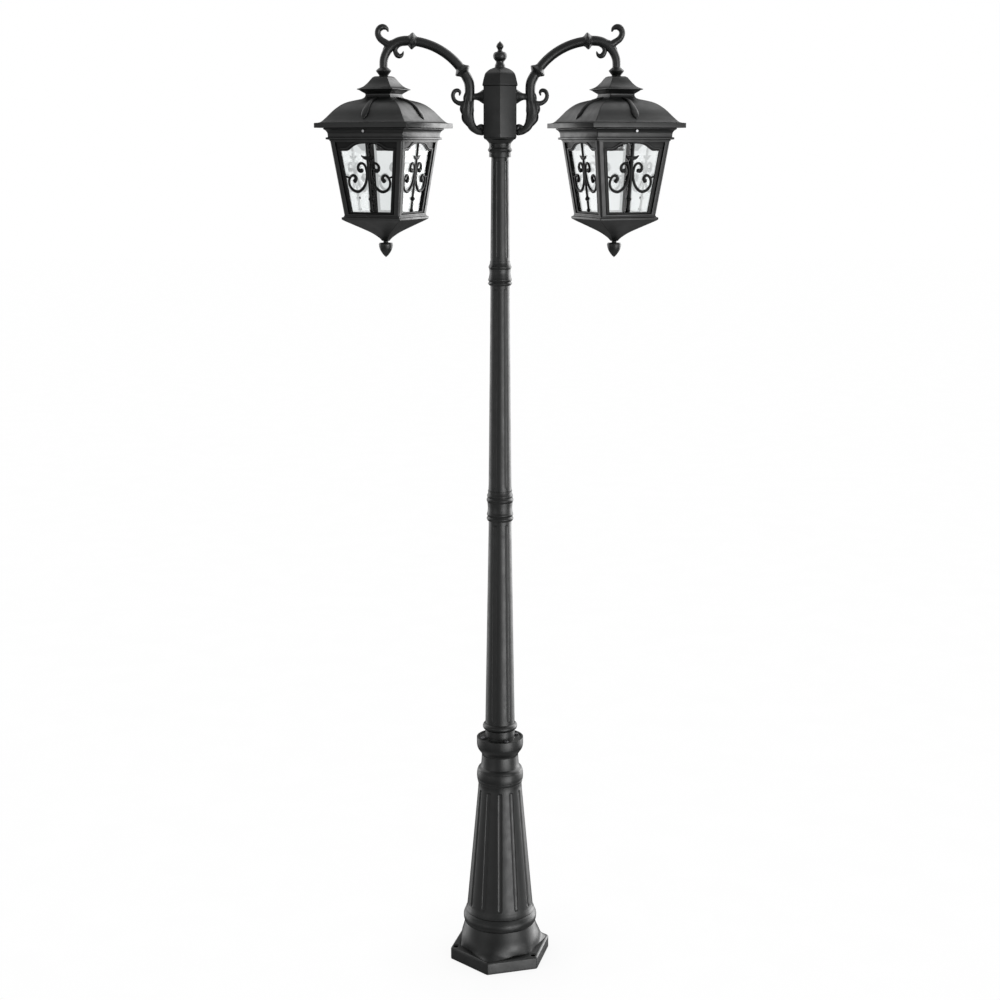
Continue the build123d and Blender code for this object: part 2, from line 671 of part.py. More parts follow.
with BuildPart() as cage_screw:
    rod((0, -lip_half - 0.3, cage_screw_z), (0, -1, 0), cage_screw_radius, 22)
    rod((0, -111.5, cage_screw_z), (0, -1, 0), 3.2, 2.4)

cage_height = cornice_low - cage_bottom
face_tilt = math.atan((cage_top_half - cage_bottom_half) / cage_height)
face_length = cage_height / math.cos(face_tilt)
face = Plane(
    origin=(0, -cage_top_half, cornice_low),
    x_dir=(1, 0, 0),
    z_dir=(0, -math.cos(face_tilt), -math.sin(face_tilt)),
)


def face_half(v):
    """Half width of a cage face at a distance v along it, zero at its top edge and negative below."""
    return cage_top_half + v * math.sin(face_tilt)


def face_trapezoid(margin, top, bottom):
    """A trapezoid on the cage face that keeps one margin to both corners."""
    Polygon(
        (-face_half(top) + margin, top),
        (face_half(top) - margin, top),
        (face_half(bottom) - margin, bottom),
        (-face_half(bottom) + margin, bottom),
        align=None,
    )


window_top, window_bottom = -3.0, -face_length + 4
with BuildPart() as window:
    with BuildSketch(face.offset(5)):
        face_trapezoid(post_face, window_top, window_bottom)
    extrude(amount=-30)

with BuildPart() as cage_frame:
    with BuildSketch(Plane.XY.offset(cornice_low)):
        Rectangle(2 * cage_top_half, 2 * cage_top_half)
    with BuildSketch(Plane.XY.offset(cage_bottom)):
        Rectangle(2 * cage_bottom_half, 2 * cage_bottom_half)
    loft()
    with BuildSketch(Plane.XY.offset(cornice_low)) as top_hollow:
        Rectangle(2 * (cage_top_half - post_wall), 2 * (cage_top_half - post_wall))
    with BuildSketch(Plane.XY.offset(cage_bottom)) as bottom_hollow:
        Rectangle(2 * (cage_bottom_half - post_wall), 2 * (cage_bottom_half - post_wall))
    loft([top_hollow.sketch, bottom_hollow.sketch], mode=Mode.SUBTRACT)
    with PolarLocations(0, 4):
        add(window.part, mode=Mode.SUBTRACT)

shoulder, arch_peak, opening_bottom = -25.0, -7.0, -177.0
bar_width = 4.0
with BuildPart() as panel:
    with BuildSketch(face.offset(-post_wall - slip)):
        face_trapezoid(panel_margin, -1.5, -face_length + 1.5)
        with BuildLine():
            edge = face_half(shoulder) - opening_margin
            foot = face_half(opening_bottom) - opening_margin
            Line((-foot, opening_bottom), (-edge, shoulder))
            Line((-edge, shoulder), (-52, shoulder))
            Spline((-52, shoulder), (-28, -12.5), (0, arch_peak), tangents=[(1, 0), (1, 0)])
            mirror(about=Plane.YZ)
            Line((-foot, opening_bottom), (foot, opening_bottom))
        make_face(mode=Mode.SUBTRACT)
    extrude(amount=-panel_wall)
    with BuildSketch(face.offset(-post_wall - slip)):
        with BuildLine():
            Line((0, opening_bottom - 2), (0, arch_peak + 2))
        trace(line_width=bar_width)
        with Locations((0, -41)):
            RegularPolygon(radius=7, side_count=4)
        with Locations((0, -144)):
            Rectangle(11, 5)
    extrude(amount=-panel_wall)
    with BuildSketch(face.offset(-post_wall - slip)):
        with BuildLine():
            Spline(
                (18.7, -72), (27, -74), (30, -66), (22, -57.5), (11, -61), (5, -75), (5.5, -90), (9, -103),
                (19, -118), (36, -125), (54, -118), (63, -103), (61, -87), (50, -80.5), (39, -86),
                (38, -97), (46, -101),
            )
        trace(line_width=bar_width)
        mirror(about=Plane.YZ)
    extrude(amount=-panel_wall)
with BuildPart() as face_panels:
    with PolarLocations(0, 4):
        add(panel.part)

glass_depth = post_wall + panel_wall + 3 * slip
with BuildPart() as pane:
    with BuildSketch(face.offset(-glass_depth)):
        face_trapezoid(glass_margin, -3, -face_length + 3)
    extrude(amount=-glass_wall)
with BuildPart() as glass_panes:
    with PolarLocations(0, 4):
        add(pane.part)

with BuildPart() as pan:
    add(flat_sided([[(0, cage_bottom), (78, cage_bottom)],
                    [(78, cage_bottom), (78, -219)],
                    [(78, -219), (82.3, -220.5)],
                    [(82.3, -220.5), (82.3, -225.5)],
                    [(82.3, -225.5), (74.5, -231), (48.7, -246.5), (27.5, -260), (13.4, -272.6), (7.5, pan_tip)],
                    [(7.5, pan_tip), (0, pan_tip)]], 4))
    add(flat_sided([[(0, cage_bottom + 1), (73, cage_bottom + 1)],
                    [(73, cage_bottom + 1), (73, -225)],
                    [(73, -225), (46, -242.5)],
                    [(46, -242.5), (20, -258)],
                    [(20, -258), (0, -258)]], 4), mode=Mode.SUBTRACT)
    rod((0, 0, -290), (0, 0, 1), 3 + slip, 40, Mode.SUBTRACT)

with BuildPart() as pan_finial:
    turned(
        [
            [(0, pan_tip), (6.5, pan_tip)],
            [(6.5, pan_tip), (6.5, -285)],
            [(6.5, -285), (16.5, -286)],
            [(16.5, -286), (17.9, -291), (15, -303), (7.5, -315)],
            [(7.5, -315), (0, finial_tip)],
        ]
    )
    rod((0, 0, pan_tip), (0, 0, 1), 3, 33)

with BuildPart() as finial_nut:
    hexagon_nut((0, 0, -258), (0, 0, 1), 10, 5)
    rod((0, 0, -260), (0, 0, 1), 3 + slip, 20, Mode.SUBTRACT)

lantern_pieces = {
    "stem_nipple": stem_nipple,
    "knuckle": knuckle,
    "roof_cap": cap,
    "roof": roof,
    "roof_nut": roof_nut,
    "lamp_holder": lamp_holder,
    "hinge_pin": hinge_pin,
    "cornice": cornice,
    "cage_screw": cage_screw,
    "cage_frame": cage_frame,
    "face_panels": face_panels,
    "glass_panes": glass_panes,
    "bottom_pan": pan,
    "pan_finial": pan_finial,
    "finial_nut": finial_nut,
}
left_seat = Location((-arm_reach, 0, lantern_height), (0, 0, lantern_turn))
for name, piece in lantern_pieces.items():
    with BuildPart() as left_piece:
        with Locations(left_seat):
            add(piece.part)
    save(left_piece, f"left_{name}")
    with BuildPart() as right_piece:
        mirror(left_piece.part, about=Plane.YZ)
    save(right_piece, f"right_{name}")
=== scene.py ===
import json
import math

import bmesh
import bpy
import numpy as np
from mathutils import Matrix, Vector


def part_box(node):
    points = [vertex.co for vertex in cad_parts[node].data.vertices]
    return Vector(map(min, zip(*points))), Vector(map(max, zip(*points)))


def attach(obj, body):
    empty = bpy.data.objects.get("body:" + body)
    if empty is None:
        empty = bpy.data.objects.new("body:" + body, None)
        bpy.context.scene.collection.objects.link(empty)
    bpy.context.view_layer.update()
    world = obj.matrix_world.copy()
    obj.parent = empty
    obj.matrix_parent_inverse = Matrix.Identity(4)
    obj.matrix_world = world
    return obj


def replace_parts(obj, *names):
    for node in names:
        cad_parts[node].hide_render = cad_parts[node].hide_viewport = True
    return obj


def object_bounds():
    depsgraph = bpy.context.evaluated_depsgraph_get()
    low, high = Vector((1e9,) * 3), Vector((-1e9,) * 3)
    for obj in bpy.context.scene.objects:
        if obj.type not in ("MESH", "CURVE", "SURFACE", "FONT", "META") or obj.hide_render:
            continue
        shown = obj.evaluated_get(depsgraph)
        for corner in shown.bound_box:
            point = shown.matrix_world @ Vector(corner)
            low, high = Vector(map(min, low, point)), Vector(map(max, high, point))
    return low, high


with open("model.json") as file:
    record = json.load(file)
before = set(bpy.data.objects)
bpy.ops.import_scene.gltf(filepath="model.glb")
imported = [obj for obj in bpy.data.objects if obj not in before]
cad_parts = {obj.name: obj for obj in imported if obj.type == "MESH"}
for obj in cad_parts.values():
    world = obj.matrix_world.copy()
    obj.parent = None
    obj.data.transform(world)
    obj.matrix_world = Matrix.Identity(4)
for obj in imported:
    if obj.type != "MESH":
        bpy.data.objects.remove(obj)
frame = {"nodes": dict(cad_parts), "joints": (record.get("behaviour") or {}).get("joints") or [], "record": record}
cad_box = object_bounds()

MM = 0.001
SIDES = ("left", "right")
joints = {joint["name"]: joint for joint in frame["joints"]}
mounts = {mount["name"]: mount for mount in frame["record"]["mounts"]}

# ---- seats, read from the frame
reach = -joints["left_swivel"]["pos_m"][0]
hinge_axis = joints["left_cage_hinge"]["axis"]
lantern_turn = math.atan2(hinge_axis[1], hinge_axis[0])
eave_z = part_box("left_cornice")[1].z + 0.5 * MM


def arm(points, side):
    """The left arm is drawn in place, and the right arm is its mirror image."""
    out = np.array(points, float)
    if side == "right":
        out[:, 0] *= -1
    return out


def lantern(points, side):
    """Points drawn about a lantern's own axis, with z = 0 at its eave, moved to where it hangs."""
    c, s = math.cos(lantern_turn), math.sin(lantern_turn)
    p = np.asarray(points, float)
    out = np.column_stack([p[:, 0] * c - p[:, 1] * s - reach, p[:, 0] * s + p[:, 1] * c, p[:, 2] + eave_z])
    return arm(out, side)


# ---- outlines
def smooth_curve(points, steps=8):
    """A smooth curve through the points."""
    p = [np.array(q, float) for q in points]
    p = [2 * p[0] - p[1]] + p + [2 * p[-1] - p[-2]]
    out = []
    for a, b, c, d in zip(p, p[1:], p[2:], p[3:]):
        for t in np.arange(steps) / steps:
            bend = (2 * a - 5 * b + 4 * c - d) * t * t + (3 * b - a - 3 * c + d) * t**3
            out.append(b + 0.5 * ((c - a) * t + bend))
    return out + [p[-2]]


def outline(start, *strokes, soft=0.8, closed=False):
    """Points in metres along strokes in millimetres, each from where the one before ends: a point ends a
    straight line and a list of points a smooth curve. Corners are rounded by soft, and a closed outline
    goes straight back to its start."""
    points, corner = [np.array(start, float)], [False]
    for stroke in strokes:
        if isinstance(stroke, list):
            run = smooth_curve([points[-1], *stroke], 7)[1:]
        else:
            run = [np.array(stroke, float)]
        corner[-1] = len(points) > 1
        points += run
        corner += [False] * len(run)
    if closed:
        corner[0] = corner[-1] = True
    out = []
    for i, q in enumerate(points):
        if not corner[i]:
            out.append(q)
            continue
        before, after = points[i - 1] - q, points[(i + 1) % len(points)] - q
        near = min(soft, 0.4 * np.linalg.norm(before)) / np.linalg.norm(before)
        far = min(soft, 0.4 * np.linalg.norm(after)) / np.linalg.norm(after)
        for t in (0, 0.25, 0.5, 0.75, 1):
            out.append(q + (1 - t) ** 2 * near * before + t * t * far * after)
    return [q * MM for q in out]


def along_path(points, count):
    """Evenly spaced points along a polyline, and how far along each one is, from 0 to 1."""
    p = np.asarray(points, float)
    length = np.concatenate([[0], np.cumsum(np.linalg.norm(np.diff(p, axis=0), axis=1))])
    share = np.linspace(0, 1, count)
    return np.column_stack([np.interp(share * length[-1], length, column) for column in p.T]), share


# ---- meshes: (points, faces)
def skin(rings, closed=False):
    """A closed skin over rings of equal point count. A closed one joins its last ring to its first."""
    n, count = len(rings[0]), len(rings)
    points = np.concatenate(rings)
    faces = []
    for j in range(count if closed else count - 1):
        a, b = j * n, (j + 1) % count * n
        faces += [(a + k, a + (k + 1) % n, b + (k + 1) % n, b + k) for k in range(n)]
    if not closed:
        faces.append(tuple(range(n))[::-1])
        faces.append(tuple(range((count - 1) * n, count * n)))
    return points, faces


def joined(*meshes):
    """Several meshes as one."""
    points, faces, base = [], [], 0
    for p, f in meshes:
        points.append(np.asarray(p, float))
        faces += [tuple(i + base for i in face) for face in f]
        base += len(p)
    return np.vstack(points), faces


def spun(mesh, degrees):
    """A mesh turned about Z."""
    c, s = math.cos(math.radians(degrees)), math.sin(math.radians(degrees))
    p = np.asarray(mesh[0])
    return np.column_stack([p[:, 0] * c - p[:, 1] * s, p[:, 0] * s + p[:, 1] * c, p[:, 2]]), mesh[1]


def around(mesh, count):
    """A mesh repeated evenly about Z."""
    return joined(*[spun(mesh, 360 * k / count) for k in range(count)])


def moved(mesh, offset):
    """A mesh moved by an offset."""
    return np.asarray(mesh[0]) + np.array(offset, float), mesh[1]


def aimed(mesh, point, direction):
    """A mesh drawn along Z from the origin, set at a point and turned to a direction."""
    z = np.array(direction, float) / np.linalg.norm(direction)
    x = np.cross((0, 0, 1) if abs(z[1]) > 0.9 else (0, 1, 0), z)
    x /= np.linalg.norm(x)
    return np.asarray(mesh[0]) @ np.array([x, np.cross(z, x), z]) + np.array(point, float), mesh[1]


def ring_at(radii, angles, z):
    """Points at the angles about Z, each at its radius."""
    return np.column_stack([radii * np.cos(angles), radii * np.sin(angles), np.full(len(angles), z)])


def turned(points, segments=72, closed=False):
    """A body of revolution about Z, from an outline of (radius, height)."""
    angles = np.linspace(0, 2 * math.pi, segments, endpoint=False)
    return skin([ring_at(max(r, 1e-4), angles, z) for r, z in points], closed)


def fluted(points, low, high, count, first, width, depth, inner=()):
    """A turned taper with round-ended grooves between two heights. The mesh lines follow the grooves, so
    their edges stay crisp. With an inner outline the body is hollow."""
    across = np.array([0, 0.3, 0.6, 0.82, 0.95, 1.03, 1.15])
    pitch = 2 * math.pi / count
    rings = []
    for r, z, cut in [(r, z, True) for r, z in points] + [(r, z, False) for r, z in inner]:
        share = min(max(min(z - low, high - z) / (width / 2), 0), 1) if cut else 0
        share = math.sqrt(1 - (1 - share) ** 2)
        half = width / 2 / r * max(share, 0.3)
        land = np.linspace(half * across[-1], pitch - half * across[-1], 6)[1:-1]
        offsets = np.concatenate([across * half, land, pitch - half * across[:0:-1]])
        near = np.concatenate([across, np.ones(len(land)), across[:0:-1]])
        drop = depth * share * np.sqrt(1 - np.minimum(near, 1) ** 2)
        angles = first + (np.arange(count)[:, None] * pitch + offsets[None, :]).ravel()
        rings.append(ring_at(r - np.tile(drop, count), angles, z))
    return skin(rings, closed=len(inner) > 0)


def with_groove_rows(low, high, width, gap):
    """The rows of a straight taper, close together where its grooves end, a gap from its own ends."""
    ease = width * np.array([-0.1, 0, 0.02, 0.06, 0.12, 0.2, 0.3, 0.4, 0.5])
    ends = np.concatenate(
        [low[1] + gap + ease, np.linspace(low[1] + gap + width, high[1] - gap - width, 12)])
    heights = np.concatenate([[low[1]], ends, (high[1] - gap - ease)[::-1], [high[1]]])
    return [(np.interp(z, (low[1], high[1]), (low[0], high[0])) * MM, z * MM) for z in heights]


def polygon_ring(half, z, sides, corner=1.5 * MM, across=3, turn=0):
    """One ring of a body with flat sides and rounded corners: half is from the axis to a side."""
    corner = min(corner, 0.4 * half)
    edge = (half - corner) * math.tan(math.pi / sides)
    points = []
    for k in range(sides):
        facing = turn + 2 * math.pi * k / sides
        out, along = np.array([math.cos(facing), math.sin(facing)]), np.array(
            [-math.sin(facing), math.cos(facing)])
        points += [out * half + along * edge * u for u in np.linspace(-1, 1, across)]
        centre = out * (half - corner) + along * edge
        for share in (0.25, 0.5, 0.75):
            angle = facing + share * 2 * math.pi / sides
            points.append(centre + corner * np.array([math.cos(angle), math.sin(angle)]))
    return np.column_stack([np.array(points), np.full(len(points), z)])


def flat_sided(points, sides=4, corner=1.5, closed=False):
    """A body with flat sides about Z, from an outline of (half width, height)."""
    return skin([polygon_ring(max(h, 1e-4), z, sides, corner * MM) for h, z in points], closed)


def swept(path, across, deep, side=(0, 1, 0), sides=16, power=2.0, blunt=True, lobes=None):
    """A bar along a path. Its section is a rounded oval: across is its half width along side, deep its
    half width square to that. lobes(section angle, share of the path) may swell it."""
    p = np.asarray(path, float)
    n = len(p)
    across, deep = np.ones(n) * across, np.ones(n) * deep
    tangent = np.gradient(p, axis=0)
    tangent /= np.linalg.norm(tangent, axis=1)[:, None]
    turn = np.linspace(0, 2 * math.pi, sides, endpoint=False)
    c, s = np.cos(turn), np.sin(turn)
    c, s = np.sign(c) * abs(c) ** (2 / power), np.sign(s) * abs(s) ** (2 / power)

    def section(k, centre, scale):
        """The section at one point of the path."""
        a = np.array(side, float) - tangent[k] * np.dot(side, tangent[k])
        a /= np.linalg.norm(a)
        b = np.cross(tangent[k], a)
        swell = scale * (lobes(turn, k / (n - 1)) if lobes else 1)
        return centre + np.outer(c * across[k] * swell, a) + np.outer(s * deep[k] * swell, b)

    cap = [0.2, 0.45, 0.7, 0.9] if blunt else []
    size = np.minimum(across, deep)
    start = [section(0, p[0] - tangent[0] * size[0] * math.sqrt(1 - t * t), t) for t in cap]
    end = [section(n - 1, p[-1] + tangent[-1] * size[-1] * math.sqrt(1 - t * t), t) for t in cap[::-1]]
    return skin(start + [section(k, p[k], 1) for k in range(n)] + end)


def bar(points, radii, count=None, **options):
    """A bent bar through points in millimetres in the XZ plane, with radii given along it."""
    path, share = along_path(smooth_curve([(x, 0, z) for x, z in points]), count or 8 * len(points))
    radii = np.interp(share, np.linspace(0, 1, len(radii)), radii) * MM
    return swept(path * MM, radii, radii, **options)


def plate(loops, low, high, edge=0.4 * MM):
    """A flat plate in the XY plane from z = low to z = high, with its first loop as its outside, the
    others as openings, and softened edges."""
    curve = bpy.data.curves.new("plate", "CURVE")
    curve.dimensions, curve.fill_mode = "2D", "BOTH"
    curve.extrude, curve.bevel_depth, curve.bevel_resolution = (high - low) / 2 - edge, edge, 2
    curve.offset = -edge
    for loop in loops:
        spline = curve.splines.new("POLY")
        spline.points.add(len(loop) - 1)
        spline.points.foreach_set("co", [v for u in loop for v in (u[0], u[1], 0, 1)])
        spline.use_cyclic_u = True
    holder = bpy.data.objects.new("plate", curve)
    bpy.context.scene.collection.objects.link(holder)
    data = bpy.data.meshes.new_from_object(holder.evaluated_get(bpy.context.evaluated_depsgraph_get()))
    points = np.array([v.co for v in data.vertices]) + (0, 0, (low + high) / 2)
    faces = [tuple(p.vertices) for p in data.polygons]
    bpy.data.objects.remove(holder)
    bpy.data.curves.remove(curve)
    bpy.data.meshes.remove(data)
    return points, faces


# ---- procedural materials
def mix(add, factor, a, b):
    """Colour a where factor is 0 and colour b where it is 1."""
    return add("ShaderNodeMix", {0: factor, 6: a, 7: b}, data_type="RGBA").outputs[2]


def node_adder(tree):
    """A function that adds a node to a tree, with its inputs set or joined."""

    def add(kind, inputs=None, **settings):
        node = tree.nodes.new(kind)
        for key, value in settings.items():
            setattr(node, key, value)
        for key, value in (inputs or {}).items():
            if isinstance(value, bpy.types.NodeSocket):
                tree.links.new(value, node.inputs[key])
            else:
                node.inputs[key].default_value = value
        return node

    return add


def new_material(name):
    """An empty node material, and a function that adds nodes to it."""
    material = bpy.data.materials.new(name)
    material.use_nodes = True
    material.node_tree.nodes.clear()
    return material, node_adder(material.node_tree)


def noise(add, scale, detail=3.0, stretch=(1, 1, 1)):
    """Cloudy noise fixed to the object."""
    place = add("ShaderNodeTexCoord").outputs["Object"]
    place = add("ShaderNodeMapping", {"Vector": place, "Scale": stretch}).outputs[0]
    return add("ShaderNodeTexNoise", {"Vector": place, "Scale": scale, "Detail": detail}).outputs[0]


def ramp(add, value, low, high, start=0.0, end=1.0):
    """A value between low and high spread evenly from start to end, and held beyond."""
    return add("ShaderNodeMapRange", {0: value, 1: low, 2: high, 3: start, 4: end}).outputs[0]


def maths(add, operation, *values):
    """One arithmetic step."""
    return add("ShaderNodeMath", dict(enumerate(values)), operation=operation).outputs[0]


def facing_up(add):
    """1 where the surface faces straight up, -1 where it faces straight down."""
    return add("ShaderNodeSeparateXYZ", {0: add("ShaderNodeNewGeometry").outputs["Normal"]}).outputs[2]


def worn_and_highlit_edges(add, radius):
    """1 on outer edges, where a rounded normal parts from the true one, and 0 elsewhere, broken up by
    noise. Edges lightened by it stand partly for wear and partly for a painted highlight."""
    rounded = add("ShaderNodeBevel", {"Radius": radius}, samples=4).outputs[0]
    true = add("ShaderNodeNewGeometry").outputs["Normal"]
    parting = add("ShaderNodeVectorMath", {0: rounded, 1: true}, operation="DOT_PRODUCT").outputs["Value"]
    edge = ramp(add, parting, 0.99, 0.8)
    return maths(add, "MULTIPLY", edge, ramp(add, noise(add, 90, 6), 0.42, 0.62))


def surface(name, dark, light, rough, metallic=0.0, edge=None, edge_amount=0.5, grain=900.0, bump=0.08,
            dust=0.0, coat=0.0, cast=0.1, stretch=(1, 1, 1), scale=14.0, shine=0.5, painted_shade=False):
    """A finish with cloudy colour, uneven roughness, fine bump over a cast unevenness, worn edges lightened partly
    as wear and partly as a painted highlight, some dust on what faces up and, if asked, painted shade: recesses
    darkened and dulled by ambient occlusion, and undersides and glancing views turned matt so that they lose their
    reflections."""
    material, add = new_material(name)
    colour = mix(add, ramp(add, noise(add, scale, 5, stretch), 0.35, 0.65), (*dark, 1), (*light, 1))
    speck = ramp(add, noise(add, 420, 4, stretch), 0.55, 0.75, 0, 0.35)
    colour = mix(add, speck, colour, (*[0.6 * c for c in light], 1))
    roughness = ramp(add, noise(add, 3.3 * scale, 6, stretch), 0.3, 0.7, rough[0], rough[1])
    if dust:
        lying = ramp(add, facing_up(add), 0.45, 1.0, 0, dust)
        settled = maths(add, "MULTIPLY", lying, ramp(add, noise(add, 60, 6), 0.3, 0.7))
        colour = mix(add, settled, colour, (0.16, 0.155, 0.145, 1))
        roughness = maths(add, "ADD", roughness, maths(add, "MULTIPLY", settled, 0.5))
    # Lighter edges: partly wear, partly a painted highlight where light would catch them.
    if edge:
        wear_and_highlight = maths(add, "MULTIPLY", worn_and_highlit_edges(add, 1.2 * MM), edge_amount)
        colour = mix(add, wear_and_highlight, colour, (*edge, 1))
        roughness = maths(add, "SUBTRACT", roughness, maths(add, "MULTIPLY", wear_and_highlight, 0.12))
    # Painted shade: ambient occlusion darkens the colour towards near black and takes away shine in recesses.
    if painted_shade:
        open_air = add("ShaderNodeAmbientOcclusion", {"Distance": 14 * MM}, samples=6).outputs["AO"]
        unshaded = ramp(add, open_air, 0.25, 0.8, 0.12, 1.0)
        colour = mix(add, unshaded, (0.002, 0.002, 0.002, 1), colour)
        shine = maths(add, "MULTIPLY", unshaded, shine)
    peel = noise(add, grain, 2, stretch)
    height = maths(
        add, "ADD", maths(add, "MULTIPLY", noise(add, 150, 3), cast), maths(add, "MULTIPLY", peel, bump))
    normal = add("ShaderNodeBump", {"Height": height, "Strength": 0.6, "Distance": 1.0 * MM}).outputs[0]
    shader = add(
        "ShaderNodeBsdfPrincipled",
        {
            "Base Color": colour, "Roughness": roughness, "Metallic": metallic, "Normal": normal,
            "Specular IOR Level": shine, "Coat Weight": coat, "Coat Roughness": 0.3})
    done = shader.outputs[0]
    # Painted shade: undersides and glancing views turn matt, which dims their reflections.
    if painted_shade:
        matt = add("ShaderNodeBsdfDiffuse", {"Color": colour, "Normal": normal}).outputs[0]
        away = add("ShaderNodeLayerWeight", {"Blend": 0.5}).outputs["Facing"]
        underside = ramp(add, maths(add, "MULTIPLY", facing_up(add), -1.0), 0.86, 0.96, 0.0, 0.92)
        dull = maths(add, "MAXIMUM", ramp(add, away, 0.74, 0.96, 0.0, 0.9), underside)
        done = add("ShaderNodeMixShader", {0: dull, 1: done, 2: matt}).outputs[0]
    add("ShaderNodeOutputMaterial", {"Surface": done})
    return material


def clear_glass(name):
    """Thin glass. On the inner faces of the panes at the back the camera sees a pale glow in streaks, painted
    light that lights nothing, and light passes all of them."""
    material, add = new_material(name)
    streak = ramp(add, noise(add, 26, 5, (1, 1, 0.35)), 0.3, 0.7, 0.6, 0.73)
    tint = mix(
        add, ramp(add, noise(add, 9, 3), 0.3, 0.7), (0.955, 0.965, 0.965, 1), (0.99, 0.995, 0.995, 1))
    through = add("ShaderNodeBsdfTransparent", {"Color": tint}).outputs[0]
    ripple = add(
        "ShaderNodeBump", {"Height": noise(add, 34, 2), "Strength": 0.25, "Distance": 1.0 * MM}).outputs[0]
    shine = add(
        "ShaderNodeBsdfGlossy", {"Color": (1, 1, 1, 1), "Roughness": 0.04, "Normal": ripple}).outputs[0]
    facing = maths(add, "SUBTRACT", 1.0, add("ShaderNodeNewGeometry").outputs["Backfacing"])
    mirror = maths(add, "MULTIPLY", facing, add("ShaderNodeFresnel", {"IOR": 1.33}).outputs[0])
    pane = add("ShaderNodeMixShader", {0: mirror, 1: through, 2: shine}).outputs[0]
    # Painted light: a pale grey emission, seen only by the camera, stands for the look of the far panes.
    painted_glow = add("ShaderNodeEmission", {"Color": (0.71, 0.725, 0.725, 1), "Strength": 1.0}).outputs[0]
    side = add("ShaderNodeAttribute", attribute_name="inner").outputs["Fac"]
    camera = add("ShaderNodeLightPath").outputs["Is Camera Ray"]
    glow_share = maths(
        add, "MULTIPLY", maths(add, "MULTIPLY", side, facing), maths(add, "MULTIPLY", camera, streak))
    with_glow = add("ShaderNodeMixShader", {0: glow_share, 1: pane, 2: painted_glow}).outputs[0]
    shadow = add("ShaderNodeLightPath").outputs["Is Shadow Ray"]
    open_air = add("ShaderNodeBsdfTransparent").outputs[0]
    done = add("ShaderNodeMixShader", {0: shadow, 1: with_glow, 2: open_air}).outputs[0]
    add("ShaderNodeOutputMaterial", {"Surface": done})
    return material


# Shared settings of the painted coats; each gets painted shade in recesses, on undersides and at glancing views.
COAT = {"edge_amount": 0.3, "grain": 1000, "bump": 0.1, "cast": 0.12, "dust": 0.05, "painted_shade": True}
FINISHES = [
    ("black_coat", (0.006, 0.0067, 0.0066), (0.0098, 0.0108, 0.0106), (0.32, 0.45),
     {**COAT, "edge": (0.05, 0.053, 0.053), "edge_amount": 0.35}),
    # Painted shade: the panel boards get a darker, duller copy of the black coat, standing for the shade in their
    # recess.
    ("shaded_panel_coat", (0.0035, 0.0038, 0.0038), (0.006, 0.0066, 0.0065), (0.36, 0.5),
     {**COAT, "edge": (0.04, 0.042, 0.042), "shine": 0.22}),
    ("bare_aluminium", (0.5, 0.5, 0.52), (0.66, 0.66, 0.68), (0.3, 0.5),
     {"metallic": 1.0, "edge": (0.8, 0.8, 0.8), "stretch": (1, 1, 0.1)}),
    ("zinc_steel", (0.2, 0.2, 0.215), (0.33, 0.33, 0.34), (0.38, 0.55),
     {"metallic": 1.0, "edge": (0.7, 0.7, 0.7), "scale": 60.0}),
    ("stainless", (0.3, 0.3, 0.31), (0.42, 0.42, 0.43), (0.24, 0.38),
     {"metallic": 1.0, "edge": (0.7, 0.7, 0.7), "bump": 0.03, "cast": 0.0}),
    ("holder_plastic", (0.022, 0.02, 0.019), (0.036, 0.033, 0.031), (0.2, 0.32),
     {"edge": (0.08, 0.075, 0.07), "edge_amount": 0.3, "coat": 0.3, "cast": 0.04}),
    ("terminal_plastic", (0.64, 0.63, 0.59), (0.74, 0.73, 0.69), (0.4, 0.55),
     {"edge": (0.8, 0.79, 0.75), "edge_amount": 0.3}),
    ("cable_rubber", (0.02, 0.02, 0.02), (0.035, 0.035, 0.035), (0.6, 0.8),
     {"edge": (0.07, 0.07, 0.07), "edge_amount": 0.3}),
]
finishes = {name: surface(name, dark, light, rough, **rest) for name, dark, light, rough, rest in FINISHES}
finishes["glass"] = clear_glass("glass")


# ---- pieces
def mesh_data(name, mesh):
    """Blender's mesh for (points, faces), with shared points joined and all faces turned outwards."""
    data = bpy.data.meshes.new(name)
    data.from_pydata([tuple(p) for p in mesh[0]], [], mesh[1])
    work = bmesh.new()
    work.from_mesh(data)
    bmesh.ops.remove_doubles(work, verts=work.verts, dist=2e-6)
    bmesh.ops.recalc_face_normals(work, faces=work.faces)
    work.to_mesh(data)
    work.free()
    return data


def piece(name, mesh, body, slot="black_coat", stands_for=(), bevel=0.0, crease=32, finish=None):
    """One shown piece from a mesh, riding on its body and standing for its CAD nodes."""
    data = mesh_data(name, mesh)
    data.shade_smooth()
    data.set_sharp_from_angle(angle=math.radians(crease))
    data.materials.append(finishes[finish or slot])
    made = bpy.data.objects.new(name, data)
    bpy.context.scene.collection.objects.link(made)
    if bevel:
        modifier = made.modifiers.new("soft_edges", "BEVEL")
        modifier.width, modifier.segments = bevel * MM, 2
        modifier.limit_method, modifier.angle_limit = "ANGLE", math.radians(40)
    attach(made, body)
    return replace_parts(made, *stands_for)


def pair(name, mesh, body, seat=lantern, nodes=(), **options):
    """The same piece on the left and, mirrored, on the right."""
    made = []
    for side in SIDES:
        rider = body if body == "post" else f"{side}_{body}"
        stood = [f"{side}_{node}" for node in nodes]
        seated = seat(mesh[0], side), mesh[1]
        made.append(piece(f"{side}_{name}", seated, rider, stands_for=stood, **options))
    return made


